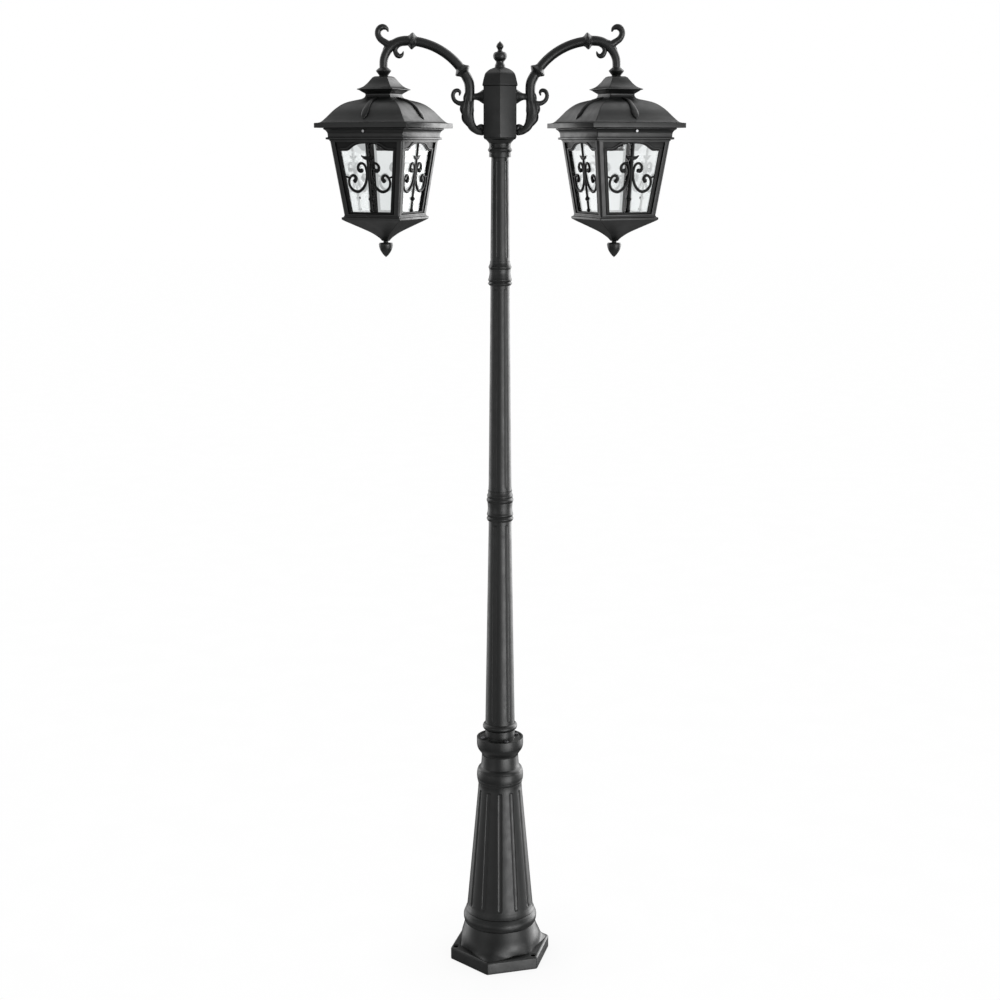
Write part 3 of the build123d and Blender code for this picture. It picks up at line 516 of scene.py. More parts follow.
def cut(mesh, *cutters):
    """A mesh with others taken out of it."""
    objects = []
    for part in (mesh, *cutters):
        objects.append(bpy.data.objects.new("cut", mesh_data("cut", part)))
        bpy.context.scene.collection.objects.link(objects[-1])
    for cutter in objects[1:]:
        modifier = objects[0].modifiers.new("cut", "BOOLEAN")
        modifier.object, modifier.operation, modifier.solver = cutter, "DIFFERENCE", "EXACT"
    data = bpy.data.meshes.new_from_object(objects[0].evaluated_get(bpy.context.evaluated_depsgraph_get()))
    result = np.array([v.co for v in data.vertices]), [tuple(p.vertices) for p in data.polygons]
    for used in objects:
        bpy.data.objects.remove(used)
    bpy.data.meshes.remove(data)
    return result


# ---- base
FOOT_HALF = 122.1
FOOT_HEIGHT = 35.0
FOOT_FACING = math.radians(225.6)
FOOT_ROUND = 6.0
BELL_FACING = 255.6
FAR_CORNER, NEAR_CORNER = 137.0, 114.0
HOLE_RADIUS, SPOT_RADIUS, SPOT_DEPTH = 6.5, 10.5, 0.8
BASE_FLUTES, POST_FLUTES, FLUTE_GAP = 12, 6, 8
ANCHOR_ANGLES = [math.radians(a) for a in (315.6, 75.6, 195.6)]
anchor_radius = mounts["base_anchors"]["dims"]["pcd_mm"] / 2 * MM


def foot_ring(half, z):
    """A ring of the foot's hexagon."""
    return polygon_ring(half * MM, z * MM, 6, FOOT_ROUND * MM, 25, FOOT_FACING)


def bell_foot(angle):
    """Distance from the axis to the bell's foot: straight sides between three far corners, which point to
    the foot's, and three near ones that leave room for the anchor nuts. Corners are rounded a little."""
    total = 0
    for shift in (-5, -2.5, 0, 2.5, 5):
        turn = (np.degrees(angle) + shift - BELL_FACING) % 120
        turn = np.radians(np.minimum(turn, 120 - turn))
        sides = FAR_CORNER * np.sin(turn) + NEAR_CORNER * np.sin(math.radians(60) - turn)
        total = total + FAR_CORNER * NEAR_CORNER * math.sin(math.radians(60)) / sides / 5
    return total


def bell_ring(circle, z, share):
    """A ring between the bell's foot, share = 1, and a circle, share = 0."""
    ring = foot_ring(FOOT_HALF, z)
    angle = np.arctan2(ring[:, 1], ring[:, 0])
    return ring_at((circle * (1 - share) + bell_foot(angle) * share) * MM, angle, z * MM)


def base_casting():
    """The hexagonal foot with its anchor holes and bell, and the fluted taper that ends in a cup."""
    rings = [foot_ring(FOOT_HALF - 1, 0), foot_ring(FOOT_HALF, 1)]
    for a in np.linspace(0, 1.45, 7):
        inwards, down = FOOT_ROUND * (1 - math.cos(a)), FOOT_ROUND * (1 - math.sin(a))
        rings.append(foot_ring(FOOT_HALF - inwards, FOOT_HEIGHT - down))
    rings.append(foot_ring(FOOT_HALF - FOOT_ROUND, FOOT_HEIGHT))
    flare = [
        (35, 107, 1), (36, 107, 0.95), (37.5, 107, 0.84), (40, 107, 0.68), (43.5, 107.2, 0.53),
        (48, 107.4, 0.4), (54, 107.2, 0.29), (61, 106.3, 0.2), (69, 104.6, 0.12), (77, 102.2, 0.06),
        (85, 100, 0.02), (92, 98.5, 0)]
    rings += [bell_ring(circle, z, share) for z, circle, share in flare]
    top = outline(
        (98.5, 92), (96, 101), [(98.5, 106), (100, 114), (99.5, 122), (96, 131)], (92.8, 135), (80, 135),
        (86, 90), (104, 30), (104, 0))
    rings += [bell_ring(r / MM, z / MM, 0) for r, z in top[1:]]
    holes = []
    for angle in ANCHOR_ANGLES:
        x, y = anchor_radius * math.cos(angle), anchor_radius * math.sin(angle)
        hole = [(HOLE_RADIUS * MM, -0.01), (HOLE_RADIUS * MM, 0.08)]
        spot = [(SPOT_RADIUS * MM, (FOOT_HEIGHT - SPOT_DEPTH) * MM), (SPOT_RADIUS * MM, 0.12)]
        holes += [moved(turned(hole, 32), (x, y, 0)), moved(turned(spot, 40), (x, y, 0))]
    foot = cut(skin(rings, closed=True), *holes)
    low, high = (90.0, 149.0), (58.6, 497.0)
    outer = outline((92.2, 133.6), (92.6, 135.2), (94, 137), [(92.4, 140.5), (91, 144.5), (90.1, 148.8)])
    outer += with_groove_rows(low, high, 15, FLUTE_GAP)
    outer += outline(
        high, (59.3, 503.2), (58.7, 504.3), (60.1, 505.6), (61.5, 511.6), (60.9, 513), (62, 514.4),
        [(62.6, 522), (62.4, 531), (61.5, 537.6)], (60.2, 539.2), (60.4, 540.6), (58.5, 545), (52.6, 549),
        [(50.6, 560), (49, 582)], [(50.5, 587), (54.7, 593), (59.3, 600), (61.9, 607.5), (62.6, 616)],
        (62.6, 632), (57.5, 632), soft=0.5)[1:]
    inner = outline(
        (57.5, 632), (57.5, 622), (20, 622), (20, 604), (40, 604), (40, 560), (50, 495), (80, 150),
        (80, 133.6))[1:]
    start, end = (low[1] + FLUTE_GAP) * MM, (high[1] - FLUTE_GAP) * MM
    taper = fluted(outer, start, end, BASE_FLUTES, math.radians(-90), 13 * MM, 2.8 * MM, inner)
    return joined(foot, taper)


def flange():
    """The hub that sits in the cup and carries the pole."""
    profile = outline(
        (34.2, 622.3), (57, 622.3), (57, 630), (41.5, 630), [(40.3, 636), (40, 654)],
        [(44.5, 657), (46.2, 663), (44.5, 668.5), (40.5, 672)], (34.2, 672), closed=True)
    return turned(profile, 96, closed=True)


def shaft(below, low, high, above, first, width, depth):
    """A fluted tube with a plain end below and above."""
    plain_low, plain_high = [[(r * MM, z * MM) for r, z in rows] for rows in (below, above)]
    rows = plain_low + with_groove_rows(low, high, width, FLUTE_GAP) + plain_high
    start, end = (low[1] + FLUTE_GAP) * MM, (high[1] - FLUTE_GAP) * MM
    return fluted(rows, start, end, POST_FLUTES, math.radians(first - 90), width * MM, depth * MM)


def collar(inner, start, *strokes):
    """A ring round the pole, from its bore's radius and the outline of its outside."""
    end = strokes[-1][-1]
    points = outline((inner, start[1]), start, *strokes, (inner, end[1]), soft=0.5, closed=True)
    return turned(points, 72, closed=True)


# ---- head
def head():
    """The hollow hexagonal box that carries the arms, on its turned capital."""
    profile = outline(
        (20.2, 2168), (27.5, 2168), (27, 2180), [(30.4, 2186), (27.2, 2192)], [(27.6, 2202), (34.5, 2211)],
        (40, 2213.5), (40, 2215), (20.2, 2215), closed=True)
    capital = turned(profile, 72, closed=True)
    profile = outline(
        (21, 2213.2), (38.8, 2213.2), (41.3, 2217), (41.3, 2343), (36.3, 2343), (36.3, 2227), (21, 2227),
        closed=True)
    box = flat_sided(profile, 6, 2.2, closed=True)
    return joined(capital, box)


def lid():
    """The domed hexagonal lid of the box."""
    profile = outline(
        (1, 2343.2), (42.3, 2343.2), (44.1, 2344.5), (43.6, 2348),
        [(42.6, 2352), (39.8, 2364), (36, 2374), (26, 2382.5), (13, 2388)], (1, 2388), soft=0.5)
    return flat_sided(profile, 6, 2.0)


def finial():
    """The turned finial on the lid."""
    profile = outline(
        (1, 2387), (13, 2387), [(12.6, 2393), (10.2, 2399), (10.4, 2403)],
        [(16, 2410), (17.2, 2418), (14, 2424), (7, 2426.5)], [(5.6, 2430.5), (7, 2434)],
        [(9.4, 2439), (6.8, 2445), (2.2, 2449.5), (0.3, 2452)])
    return turned(profile, 48)


POST_PIECES = [
    ("base_casting", "base_column", base_casting()),
    ("flange_casting", "pole_flange", flange()),
    ("shaft_lower", "lower_shaft", shaft(
        [(33.9, 623), (33.9, 671)], (39.6, 672), (29.8, 1230), [(28, 1232), (28, 1269)], 35, 12, 1.6)),
    ("shaft_middle", "middle_shaft", shaft(
        [(28, 1271), (28, 1309)], (30.3, 1311), (24.8, 1846), [(23, 1848), (23, 1876)], 32, 10.5, 1.4)),
    ("shaft_upper", "upper_shaft", shaft(
        [(23, 1878), (23, 1906)], (24.5, 1908), (22, 2168), [(20, 2170), (20, 2200)], -11, 9, 1.3)),
    ("collar_middle", "middle_collar", collar(
        28.1, (32.5, 1230), [(35.2, 1236), (32.4, 1241.5)], [(34.6, 1247), (32.9, 1252.5)],
        [(32, 1264), (33, 1279)], [(35.3, 1286), (32.6, 1291.5)], [(33.9, 1297), (32, 1302.5)],
        [(31.2, 1307), (31.6, 1311)])),
    ("collar_upper", "upper_collar", collar(
        23.1, (27, 1846), [(30.5, 1851), (28, 1855.5)], [(30.2, 1860.5), (28.6, 1865.5)],
        [(26.8, 1877), (27.4, 1887)], [(29.2, 1893), (27, 1898.5)], [(25.8, 1903), (25.6, 1908)])),
    ("head_casting", "head_box", head()),
    ("head_lid", "head_cap", lid()),
    ("head_tip", "head_finial", finial()),
]
for name, node, mesh in POST_PIECES:
    piece(name, mesh, "post", stands_for=[node])

# ---- arms, drawn on the left
BEAD = (-219.0, 2452.0)
BEAD_DIRECTION = (math.cos(math.radians(5)), -math.sin(math.radians(5)))
COLLAR = (-94.0, 2380.0)
STEM = (-76.0, 2340.0)
PORT = 2317.0
reach_mm = reach / MM


def arc(start, direction, end, count=24):
    """Points of the circle that leaves start in a direction and passes through end, and its direction at
    the end."""
    s, d, e = np.array(start), np.array(direction), np.array(end)
    normal = np.array([-d[1], d[0]])
    radius = (e - s) @ (e - s) / (2 * (e - s) @ normal)
    centre = s + normal * radius
    first = math.atan2(*(s - centre)[::-1])
    last = math.atan2(*(e - centre)[::-1])
    angles = np.linspace(first, last, count)
    points = [centre + abs(radius) * np.array([math.cos(a), math.sin(a)]) for a in angles]
    side = 1 if radius > 0 else -1
    return points, (-side * math.sin(last), side * math.cos(last))


def in_plane(points):
    """Points of the XZ plane, from millimetres."""
    return np.array([(x, 0, z) for x, z in points]) * MM


def half_bead(point, direction):
    """Half of the pointed ring round the arm where two castings meet."""
    profile = outline(
        (1, 0.25), (20.3, 0.25), (20.8, 1.1), [(17, 5), (13.8, 8), (12, 11)], (1, 11), soft=0.4)
    return aimed(turned(profile, 56), (point[0] * MM, 0, point[1] * MM), (direction[0], 0, direction[1]))


arm_curve, collar_direction = arc(BEAD, BEAD_DIRECTION, COLLAR)


def tube():
    """The arm's arc, with half of a pointed ring at each end."""
    bead = half_bead(BEAD, BEAD_DIRECTION)
    collar_half = half_bead(COLLAR, (-collar_direction[0], -collar_direction[1]))
    pipe = swept(in_plane(arm_curve), 11.6 * MM, 11.6 * MM, sides=32, blunt=False)
    return joined(pipe, bead, collar_half)


def elbow():
    """The arm's outer end: it turns down to the knuckle, with an open crook above and a hook below."""
    path = [
        BEAD, (-233, 2452.8), (-246, 2451.5), (-258, 2447.8), (-269, 2441), (-278.5, 2431.5),
        (-285.8, 2419.5), (-290, 2407), (-reach_mm, 2397), (-reach_mm, 2387.5)]
    path, share = along_path(in_plane(smooth_curve(path)), 44)
    thick = np.interp(share, [0, 0.3, 0.7, 1], [12, 11.8, 10.6, 10]) * MM
    main = swept(path, thick, thick, sides=32, blunt=False)
    crook = [
        (-270, 2444), (-278, 2443.5), (-287, 2449), (-298, 2457), (-304, 2468.5), (-301.3, 2480.5),
        (-291.5, 2486), (-282, 2482.5), (-279, 2476.5)]
    crook = bar(crook, [10.5, 9.4, 8.3, 7.9, 7.7, 7.8, 7.9, 6.2, 2.6], 64, sides=28)
    hook = [
        (-232.6, 2446.5), (-247, 2445.7), (-257, 2439.5), (-261.3, 2429), (-257.7, 2419.5),
        (-250.5, 2415.4), (-243.9, 2419.2), (-241.3, 2425.8)]
    hook = bar(hook, [6, 6.5, 6.6, 6, 6, 6.8, 5, 1.6], 56, sides=24)
    return joined(main, half_bead(BEAD, (-BEAD_DIRECTION[0], -BEAD_DIRECTION[1])), crook, hook)


def leaf_swell(angle, share):
    """Three lobes along the leaf's outer edge, and ribs along its broad sides."""
    outer = np.clip(-np.sin(angle), 0, 1) ** 1.5
    lobe = abs(math.sin(math.pi * (0.1 + 4.1 * share))) ** 0.7
    swell = 0.36 * outer * (lobe - 0.62) * min(1, 1.6 - 1.6 * share)
    ribs = 0.09 * np.cos(10 * angle) * math.sin(math.pi * min(share * 1.6 + 0.1, 1))
    return 1 + swell + ribs


def bracket():
    """The arm's inner end: the stem bolted to the head, with a leaf below it and a scroll beside it."""
    stem = [
        np.array(COLLAR), np.array(COLLAR) + 14 * np.array(collar_direction), (-78.5, 2354), STEM,
        (-76, 2322), (-77, 2306)]
    path, share = along_path(in_plane(smooth_curve(stem)), 40)
    main = swept(path, 12 * MM, np.interp(share, [0, 0.4, 1], [12, 12.6, 12]) * MM, sides=32, blunt=False)
    spine = [
        (-76, 2330), (-79, 2308), (-82, 2290), (-82, 2273), (-77, 2257), (-69, 2243), (-57, 2233),
        (-45, 2230)]
    path, share = along_path(in_plane(smooth_curve(spine)), 64)
    wide = np.interp(share, [0, 0.2, 0.4, 0.55, 0.7, 0.85, 1], [10, 13.5, 17, 15.5, 11.5, 9, 8.5]) * MM
    thick = np.interp(share, [0, 0.3, 0.7, 1], [10, 10.5, 9, 7.5]) * MM
    leaf = swept(path, thick, wide, sides=64, power=2.4, lobes=leaf_swell)
    curl = [
        (-80, 2304), (-91, 2300.5), (-103, 2301), (-113.5, 2307.5), (-118, 2319), (-114.5, 2329.5),
        (-106, 2332.5), (-100.5, 2328), (-101.5, 2321.5)]
    curl = bar(curl, [8, 7, 6, 5.4, 5.2, 5.2, 5.2, 4.6, 2.2], 60, sides=20)
    profile = outline(
        (0.5, 0), (17.5, 0), (17.3, 1.5), [(15, 5), (11, 11), (8.6, 17), (8.2, 22), (9.2, 36)], (0.5, 36))
    port = aimed(turned(profile, 48), (-41.3 * MM, 0, PORT * MM), (-1, 0, 0))
    tail = bar([(-60, 2235), (-53, 2241.5), (-47, 2243.5), (-42.5, 2240)], [6.5, 6.5, 6.5, 7.5], sides=20)
    return joined(main, half_bead(COLLAR, collar_direction), leaf, curl, port, tail)


pair("arm_tube_casting", tube(), "post", arm, ["arm_tube"])
pair("arm_elbow_casting", elbow(), "post", arm, ["arm_elbow"])
pair("arm_bracket_casting", bracket(), "post", arm, ["arm_bracket"])

# ---- lanterns, drawn about their own axis
SKIRT = 129.6
CAGE_TOP, CAGE_LOW = -32.0, -216.0
TOP_HALF, LOW_HALF = 101.4, 77.6
POST_FACE, POST_WALL = 14.0, 4.0
HINGE = (121.0, -7.0)
tilt = math.atan2(TOP_HALF - LOW_HALF, CAGE_TOP - CAGE_LOW)
face_length = (CAGE_TOP - CAGE_LOW) / math.cos(tilt)


def face_half(v):
    """Half width of a cage face at a distance v along it from its top edge, negative downwards."""
    return TOP_HALF + v * math.sin(tilt)


def on_face(mesh):
    """A mesh drawn on a cage face, x across, y up along it and z outwards, moved to the front face."""
    c, s = math.cos(tilt), math.sin(tilt)
    turned_points = np.asarray(mesh[0]) @ np.array([(1, 0, 0), (0, -s, c), (0, -c, -s)])
    return turned_points + np.array([0, -TOP_HALF, CAGE_TOP]) * MM, mesh[1]


def rib():
    """A claw-like rib down the middle of a roof face: narrow at the neck, broad and rounded at its end."""
    spine = [(0, -38, 72), (0, -55, 67.6), (0, -71.2, 61.3), (0, -90.4, 46.2), (0, -109.5, 22.4)]
    path, share = along_path(smooth_curve(spine), 48)
    wide = np.interp(share, [0, 0.3, 0.55, 0.7, 0.82, 0.92, 1], [4.4, 4.8, 5.6, 7.8, 9.6, 7.8, 2.6]) * MM
    high = np.interp(share, [0, 0.3, 0.7, 0.9, 1], [4, 5.2, 6, 5.6, 2.6]) * MM
    return swept(path * MM, wide, high, side=(1, 0, 0), sides=32, power=3.4)


def hinge_block(x, length, low, high):
    """A hinge knuckle across the back face. Its web, between two (y, z) corners, joins it to its part."""
    start, end = x - length / 2, x + length / 2
    barrel = outline((2.1, 0), (4.5, 0), (4.5, length), (2.1, length), soft=0.4, closed=True)
    barrel = aimed(turned(barrel, 32, closed=True), (start * MM, HINGE[0] * MM, HINGE[1] * MM), (1, 0, 0))
    corners = [(low[0], low[1]), (high[0], low[1]), (high[0], high[1]), (low[0], high[1])]
    web = skin([np.array([(side, y, z) for y, z in corners]) * MM for side in (start, end)])
    return joined(barrel, web)


def roof():
    """The hollow domed roof with its skirt, ribs and hinge ears."""
    profile = outline(
        (87, -14), (90, -14), (90, 0), (SKIRT, 0), (SKIRT, 11.8), (122, 12.5),
        [(116, 15.5), (106, 27), (90.4, 46.4), (71.2, 61.5), (42, 71)], [(37, 74.5), (34.6, 79.5)],
        (34.8, 83.5), (46, 91.9), (10, 91.9), (10, 67), [(31, 67), (41, 66)],
        [(69, 56.5), (87, 42), (102, 24.5), (112, 11)], (87, 5), soft=0.8, closed=True)
    shell = flat_sided(profile, 4, 2.0, closed=True)
    ears = [
        hinge_block(side * 21.5, 12, (HINGE[0] - 4.4, HINGE[1]), (HINGE[0] + 4.4, 0.4)) for side in (-1, 1)]
    return joined(shell, around(rib(), 4), *ears)


def crown():
    """The small concave cap over the roof's neck."""
    profile = outline(
        (8, 92.2), (46, 92.2), (50.4, 94), (50.2, 95.2),
        [(44.5, 97.6), (38.2, 101.4), (30.8, 109.5), (24.4, 119), (20.5, 124.2), (16, 126.5)], (8, 126.5),
        soft=0.4, closed=True)
    return flat_sided(profile, 4, 1.4, closed=True)


def knuckle():
    """The nut-like ring between the arm and the crown."""
    profile = outline(
        (6, 126.5), (11.2, 126.5), [(12.6, 130.5), (18.4, 138)], (19.4, 140), [(15, 144), (10.6, 147.7)],
        (6, 147.7), soft=0.5)
    return turned(profile, 56)


def cornice():
    """The cage's hollow top with its cove and fillet, and the hinge's middle knuckle."""
    profile = outline(
        (93, -0.5), (113, -0.5), (113, -3), [(108.3, -7), (105.4, -13), (104.6, -22.5)], (108.7, -23.5),
        (108.7, -28), (102, -29), (102, -32), (93, -32), soft=0.6, closed=True)
    shell = flat_sided(profile, 4, 1.6, closed=True)
    return joined(shell, hinge_block(0, 30, (104, HINGE[1] - 4.4), (HINGE[0], HINGE[1] + 4.4)))


def corner_post():
    """One L-shaped post with a blunted outer corner, at the right front corner."""
    section = [
        (-POST_FACE, 0), (-4.2, 0), (-2.6, 0.6), (-0.6, 2.6), (0, 4.2), (0, POST_FACE),
        (-POST_WALL, POST_FACE), (-POST_WALL, POST_WALL), (-POST_FACE, POST_WALL)]
    rings = []
    for z, half in ((CAGE_TOP, TOP_HALF), (CAGE_LOW, LOW_HALF)):
        rings.append(np.array([(half + x, y - half, z) for x, y in section]) * MM)
    return skin(rings)


def face_quad(high, low, margin):
    """Corners of the part of a face between two heights, a margin in from the sides."""
    wide, narrow = face_half(high) - margin, face_half(low) - margin
    return [(wide, high), (-wide, high), (-narrow, low), (narrow, low)]


def rail(v, height, margin):
    """A flat bar across a face, between its posts."""
    loop = face_quad(v + height / 2, v - height / 2, margin)
    return on_face(plate([np.array(loop) * MM], -POST_WALL * MM, 0))


def cage():
    """Four corner posts and the flat bars between them."""
    posts = around(corner_post(), 4)
    rails = around(joined(rail(-1.5, 3, POST_FACE - 1), rail(-face_length + 2, 4, POST_FACE - 1)), 4)
    return joined(posts, rails)


SHOULDER, ARCH, SILL = -25.0, -7.0, -177.0
PANEL_LOW, PANEL_HIGH = -7.05, -4.05
PANEL_MIDDLE = (PANEL_LOW + PANEL_HIGH) / 2
ARCH_CURVE = [(-59, SHOULDER), (-53, -24), (-45, -19), (-36, -13.2), (-25, -9.2), (-12, -7.4), (0, ARCH)]


def mirrored(points):
    """A run of points up to the middle of a face, continued as its mirror image."""
    return points + [(-u, v) for u, v in points[-2::-1]]


def bud(points, point):
    """A turned bead on an upright bar of the grille."""
    return aimed(turned(outline(*points), 28), np.array(point) * MM, (0, 1, 0))


def grille_bar(points, radii, squash=0.8, count=None):
    """A bent bar in the plane of the panel."""
    spine = smooth_curve([(u, v, PANEL_MIDDLE) for u, v in points])
    path, share = along_path(spine, count or 7 * len(points))
    radii = np.interp(share, np.linspace(0, 1, len(radii)), radii) * MM
    return swept(path * MM, radii * squash, radii, side=(0, 0, 1), sides=16)


def panel():
    """One face of the cage: a board with an arched opening, a raised edge and scrollwork in the opening.
    The moulding over the arch comes as a second mesh."""
    top, low = -1.5, -face_length + 1.5
    edge, foot = face_half(SHOULDER) - 25, face_half(SILL) - 25
    arch = [(-foot, SILL), (-edge, SHOULDER)] + [tuple(p) for p in smooth_curve(ARCH_CURVE)]
    loops = [np.array(loop) * MM for loop in (face_quad(top, low, 8.5), mirrored(arch))]
    board = plate(loops, PANEL_LOW * MM, PANEL_HIGH * MM)
    high, deep = SHOULDER + 6.5, SILL - 3.5
    tray = [
        (-face_half(high) + 16.7, high), (-face_half(deep) + 16.7, deep), (face_half(deep) - 16.7, deep),
        (face_half(high) - 16.7, high), (edge - 3, high), (edge + 0.2, SHOULDER), (foot + 0.2, SILL - 0.2),
        (-foot - 0.2, SILL - 0.2), (-edge - 0.2, SHOULDER), (-edge + 3, high)]
    frame_edge = plate([np.array(tray) * MM], (PANEL_HIGH - 0.5) * MM, (PANEL_HIGH + 1.9) * MM)
    strip = [
        (-edge - 1, high - 1), (-61, high - 0.8), (-53.5, -17), (-45, -12), (-36, -6.6), (-25, -4.2),
        (-12, -3.3), (0, -3.1)]
    path = along_path(smooth_curve([(u, v, PANEL_HIGH) for u, v in mirrored(strip)]), 72)[0]
    moulding = swept(path * MM, 2.1 * MM, 2.3 * MM, side=(0, 0, 1), sides=12)
    scroll = [
        (19, -73.2), (24, -74.4), (28.4, -70.5), (29, -63.5), (24.5, -57.3), (17.5, -55.4), (10.5, -59.5),
        (6.3, -71), (5.8, -87), (10, -103), (19.5, -117.5), (33, -125.6), (46.5, -122.5), (55.5, -113),
        (57.6, -101.5), (54, -91), (46.5, -85.4), (39.5, -87.5), (37.3, -94), (41.3, -99.4)]
    thickness = [
        5.4, 4.2, 3.4, 3.3, 3.3, 3.3, 3.3, 3.4, 3.5, 3.7, 3.8, 3.8, 3.7, 3.5, 3.4, 3.3, 3.3, 3.4, 4.2, 5.6]
    link = [(54.5, -92.5), (60, -90), (65.5, -88.5)]
    scrolls = [grille_bar([(side * u, v) for u, v in scroll], thickness) for side in (1, -1)]
    links = [grille_bar([(side * u, v) for u, v in link], [2.6, 2.4, 2.6]) for side in (1, -1)]
    stem = grille_bar([(0, ARCH + 2), (0, -60), (0, -120), (0, SILL - 1)], [3.8, 3.8, 3.8, 3.8], 0.75, 12)
    wings = mirrored([(-18, -36.5), (-10, -41.4), (0, -43)])
    wings = grille_bar(wings, [1.2, 4.2, 5.4, 4.2, 1.2], 0.6, 40)
    knot = [(0.3, -6), (3, -5), [(5.2, -2.5), (5.9, 0), (5.2, 2.5), (3, 5)], (0.3, 6)]
    knot = bud(knot, (0, -144, PANEL_MIDDLE))
    foot_knob = bud([(0.3, -4.5), (3, -4), [(5, 0), (3, 4)], (0.3, 4.5)], (0, SILL + 4.5, PANEL_MIDDLE))
    grille = joined(board, frame_edge, *scrolls, *links, stem, wings, knot, foot_knob)
    return on_face(grille), on_face(moulding)


def glass_pane():
    """One pane behind a panel."""
    depth = PANEL_LOW - 0.1
    loop = face_quad(-3.0, -face_length + 3, 21)
    rings = [np.array([(u, v, w) for u, v in loop]) * MM for w in (depth - 3, depth)]
    return on_face(skin(rings))


def pan():
    """The cage's hollow bottom, drawn in towards its drop."""
    profile = outline(
        (73, -216), (78, -216), (78, -219), (82.3, -220.5), (82.3, -225.5),
        [(74.5, -231), (48.7, -246.5), (27.5, -260), (13.4, -272.6), (7.5, -281)], (1, -281), (1, -259),
        (20, -259), (46, -243), (73, -225), soft=0.7, closed=True)
    return flat_sided(profile, 4, 1.8, closed=True)


def drop():
    """The turned drop under the pan."""
    profile = outline(
        (1, -280), (6.5, -281), (6.5, -285), (16.5, -286),
        [(17.9, -291), (15, -303), (7.5, -315), (0.4, -322)])
    return turned(profile, 48)


def screw_head():
    """A domed head with a hexagonal socket, on the front of the cornice."""
    profile = outline(
        (0.8, 0), (2.1, 0), (2.1, 0.5), [(1.8, 1.3), (1.1, 1.7)], (1, 0.9), (0.2, 0.9), soft=0.15)
    return aimed(turned(profile, 32), (0, -111.5 * MM, -8 * MM), (0, -1, 0))


pair("knuckle_casting", knuckle(), "lantern", nodes=["knuckle"])
pair("roof_crown", crown(), "lantern", nodes=["roof_cap"])
pair("roof_casting", roof(), "lantern", nodes=["roof"])
pair("cornice_casting", cornice(), "cage", nodes=["cornice"])
pair("cage_posts", cage(), "cage", nodes=["cage_frame"], bevel=0.35)
board, moulding = panel()
# The boards take the darker copy of the black coat: painted shade for their recess.
pair("grilles", around(board, 4), "cage", nodes=["face_panels"], finish="shaded_panel_coat")
pair("arch_mouldings", around(moulding, 4), "cage")
pair("pan_casting", pan(), "cage", nodes=["bottom_pan"])
pair("pan_drop", drop(), "cage", nodes=["pan_finial"])
pair("screw_head", screw_head(), "cage", slot="stainless")
for pane in pair("panes", around(glass_pane(), 4), "cage", nodes=["glass_panes"], slot="glass", crease=5):
    inner = pane.data.attributes.new("inner", "FLOAT", "POINT")
    inner.data.foreach_set("value", [float(k % 8 < 4) for k in range(len(pane.data.vertices))])

# ---- CAD parts that stay in view
for part in frame["record"]["subparts"]:
    node = frame["nodes"][part["node"]]
    node.data.materials.clear()
    node.data.materials.append(finishes[part["material_slot"]])

# ---- floor, light and camera
height = cad_box[1].z - cad_box[0].z


def stage_plane(name, size, material):
    """A wide square just under the foot, lit by nothing and lighting nothing."""
    loop = [(-size, -size), (size, -size), (size, size), (-size, size)]
    data = bpy.data.meshes.new(name)
    data.from_pydata([(x, y, -0.2 * MM) for x, y in loop], [], [(0, 1, 2, 3)])
    data.materials.append(material)
    floor = bpy.data.objects.new(name, data)
    bpy.context.scene.collection.objects.link(floor)
    floor.visible_diffuse = floor.visible_glossy = False


def floor_material():
    """A pale, slightly mottled floor with a painted contact shadow: a little darker close to the foot."""
    material, add = new_material("floor")
    # Painted shadow: ambient occlusion dims the floor's glow near the foot.
    near = add("ShaderNodeAmbientOcclusion", {"Distance": 0.12 * height}, samples=16).outputs["AO"]
    tone = maths(
        add, "MULTIPLY", ramp(add, near, 0.0, 1.0, 0.86, 1.0),
        ramp(add, noise(add, 6.0, 4), 0.3, 0.7, 0.992, 1.0))
    shader = add("ShaderNodeEmission", {"Color": (1, 1, 1, 1), "Strength": tone})
    add("ShaderNodeOutputMaterial", {"Surface": shader.outputs[0]})
    return material


# How strong each light is by the height of its direction, from -1 straight down to 1 straight up.
ROOM_LIGHT = [
    (-1, 0.48), (-0.75, 0.42), (-0.45, 0.05), (-0.27, 0.45), (-0.14, 0.68), (-0.04, 0.38), (0.02, 0.24),
    (0.3, 0.3), (0.6, 0.38), (1, 0.4)]
KEY_LIGHT = [
    (-0.6, 0), (-0.43, 1.6), (-0.38, 4.2), (-0.33, 7.0), (-0.24, 6.8), (-0.1, 5.6), (0, 2.7), (0.3, 0.6),
    (1, 0)]
LEFT_LIGHT = [(-0.4, 0), (0, 0.85), (0.4, 0)]
SIDE_LIGHT = [(-0.42, 0), (-0.32, 0.2), (-0.22, 0.95), (0.3, 1.15), (0.55, 0.9), (0.8, 0.3), (1, 0.2)]


def stops(add, value, points):
    """A value read off straight lines between points."""
    made = add("ShaderNodeValToRGB", {0: ramp(add, value, -1.0, 1.0)})
    elements = made.color_ramp.elements
    elements.remove(elements[1])
    for k, (at, strength) in enumerate(points):
        element = elements.new((at + 1) / 2) if k else elements[0]
        element.position = (at + 1) / 2
        element.color = (*[strength / 8] * 3, 1)
    return maths(add, "MULTIPLY", made.outputs[0], 8.0)


def glow(add, azimuth, centre, width):
    """1 at an azimuth in degrees, falling away to 0 on both sides."""
    away = maths(add, "DIVIDE", maths(add, "SUBTRACT", azimuth, math.radians(centre)), width)
    return maths(add, "EXPONENT", maths(add, "MULTIPLY", maths(add, "MULTIPLY", away, away), -0.5))


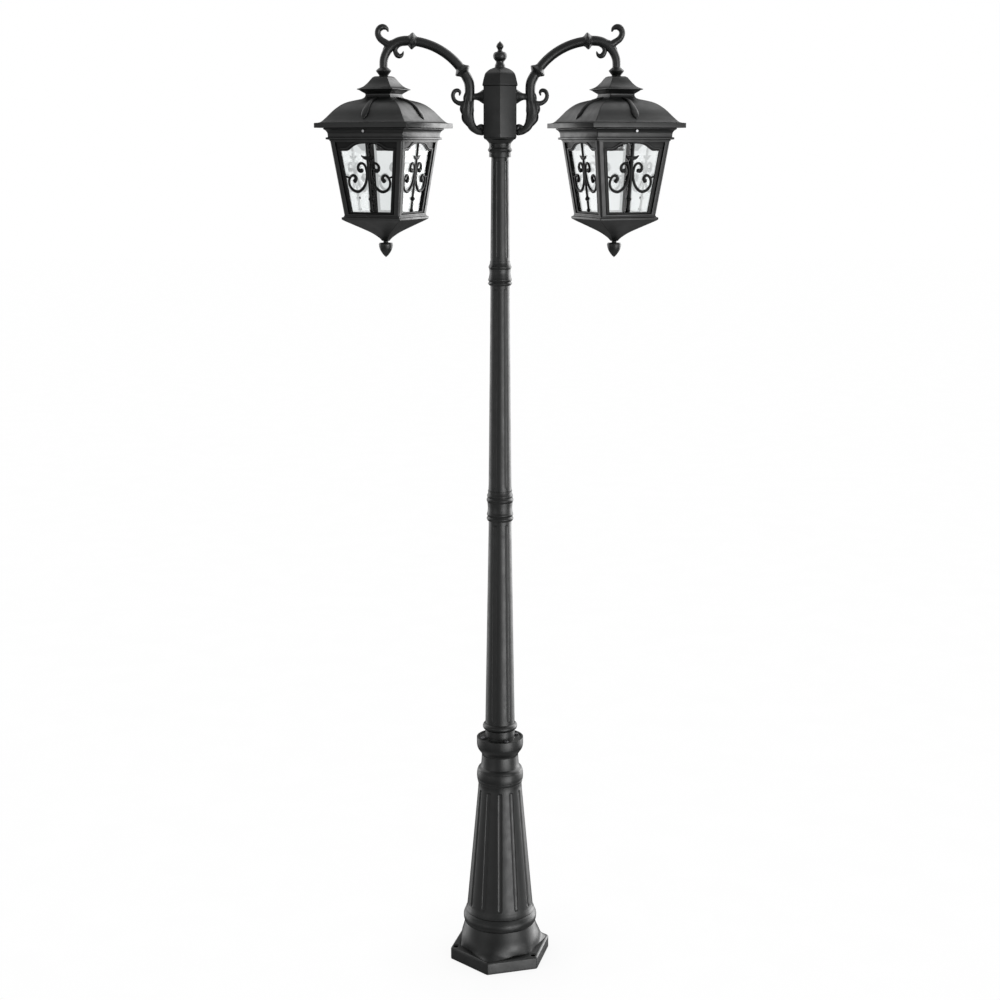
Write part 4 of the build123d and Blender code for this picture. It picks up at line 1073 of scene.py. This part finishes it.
def sky():
    """White to the camera. To the object it is a studio: a tall soft box at the right front, a weak one at
    the left front, one behind each side, and a dim room."""
    world = bpy.data.worlds.new("studio")
    bpy.context.scene.world = world
    world.use_nodes = True
    world.node_tree.nodes.clear()
    add = node_adder(world.node_tree)
    x, y, z = add("ShaderNodeSeparateXYZ", {0: add("ShaderNodeTexCoord").outputs["Generated"]}).outputs
    azimuth = maths(add, "ARCTAN2", x, maths(add, "MULTIPLY", y, -1.0))
    key = maths(add, "MULTIPLY", glow(add, azimuth, 39, 0.25), stops(add, z, KEY_LIGHT))
    left = maths(add, "MULTIPLY", glow(add, azimuth, -45, 0.24), stops(add, z, LEFT_LIGHT))
    right_side = maths(add, "MULTIPLY", glow(add, azimuth, 129, 0.3), 5.6)
    left_side = maths(add, "MULTIPLY", glow(add, azimuth, -128, 0.26), 2.3)
    sides = maths(add, "MULTIPLY", maths(add, "ADD", right_side, left_side), stops(add, z, SIDE_LIGHT))
    room = maths(add, "MULTIPLY", stops(add, z, ROOM_LIGHT), ramp(add, y, 0.6, 0.95, 1.0, 0.8))
    light = maths(add, "ADD", maths(add, "ADD", room, sides), maths(add, "ADD", key, left))
    seen = add("ShaderNodeLightPath").outputs["Is Camera Ray"]
    strength = add("ShaderNodeMix", {0: seen, 2: light, 3: 1.0}, data_type="FLOAT").outputs[0]
    background = add("ShaderNodeBackground", {"Color": (1, 1, 1, 1), "Strength": strength})
    add("ShaderNodeOutputWorld", {"Surface": background.outputs[0]})


def lamp(name, azimuth, elevation, distance, size, power):
    """A square soft light aimed at the middle of the post. Azimuth 0 is in front of it, 90 to its left."""
    a, e = math.radians(azimuth), math.radians(elevation)
    data = bpy.data.lights.new(name, "AREA")
    data.energy, data.size, data.shape = power, size * height, "SQUARE"
    light = bpy.data.objects.new(name, data)
    target = Vector((0, 0, 0.6 * height))
    away = Vector((-math.sin(a) * math.cos(e), -math.cos(a) * math.cos(e), math.sin(e)))
    light.location = target + away * distance * height
    light.rotation_euler = away.to_track_quat("Z", "Y").to_euler()
    bpy.context.scene.collection.objects.link(light)


stage_plane("floor", 30.0, floor_material())
sky()
lamp("key", -48, 30, 2.2, 1.0, 12)

view_data = bpy.data.cameras.new("view")
view_data.sensor_width, view_data.lens = 36.0, 61.49
camera = bpy.data.objects.new("view", view_data)
camera.location = (0, -1.763 * height, 0.879 * height)
aim = Vector((0, 0, 0.5147 * height)) - camera.location
camera.rotation_euler = aim.to_track_quat("-Z", "Y").to_euler()
bpy.context.scene.collection.objects.link(camera)
bpy.context.scene.camera = camera
bpy.context.scene.view_settings.view_transform = "Standard"
bpy.context.scene.view_settings.look = "None"
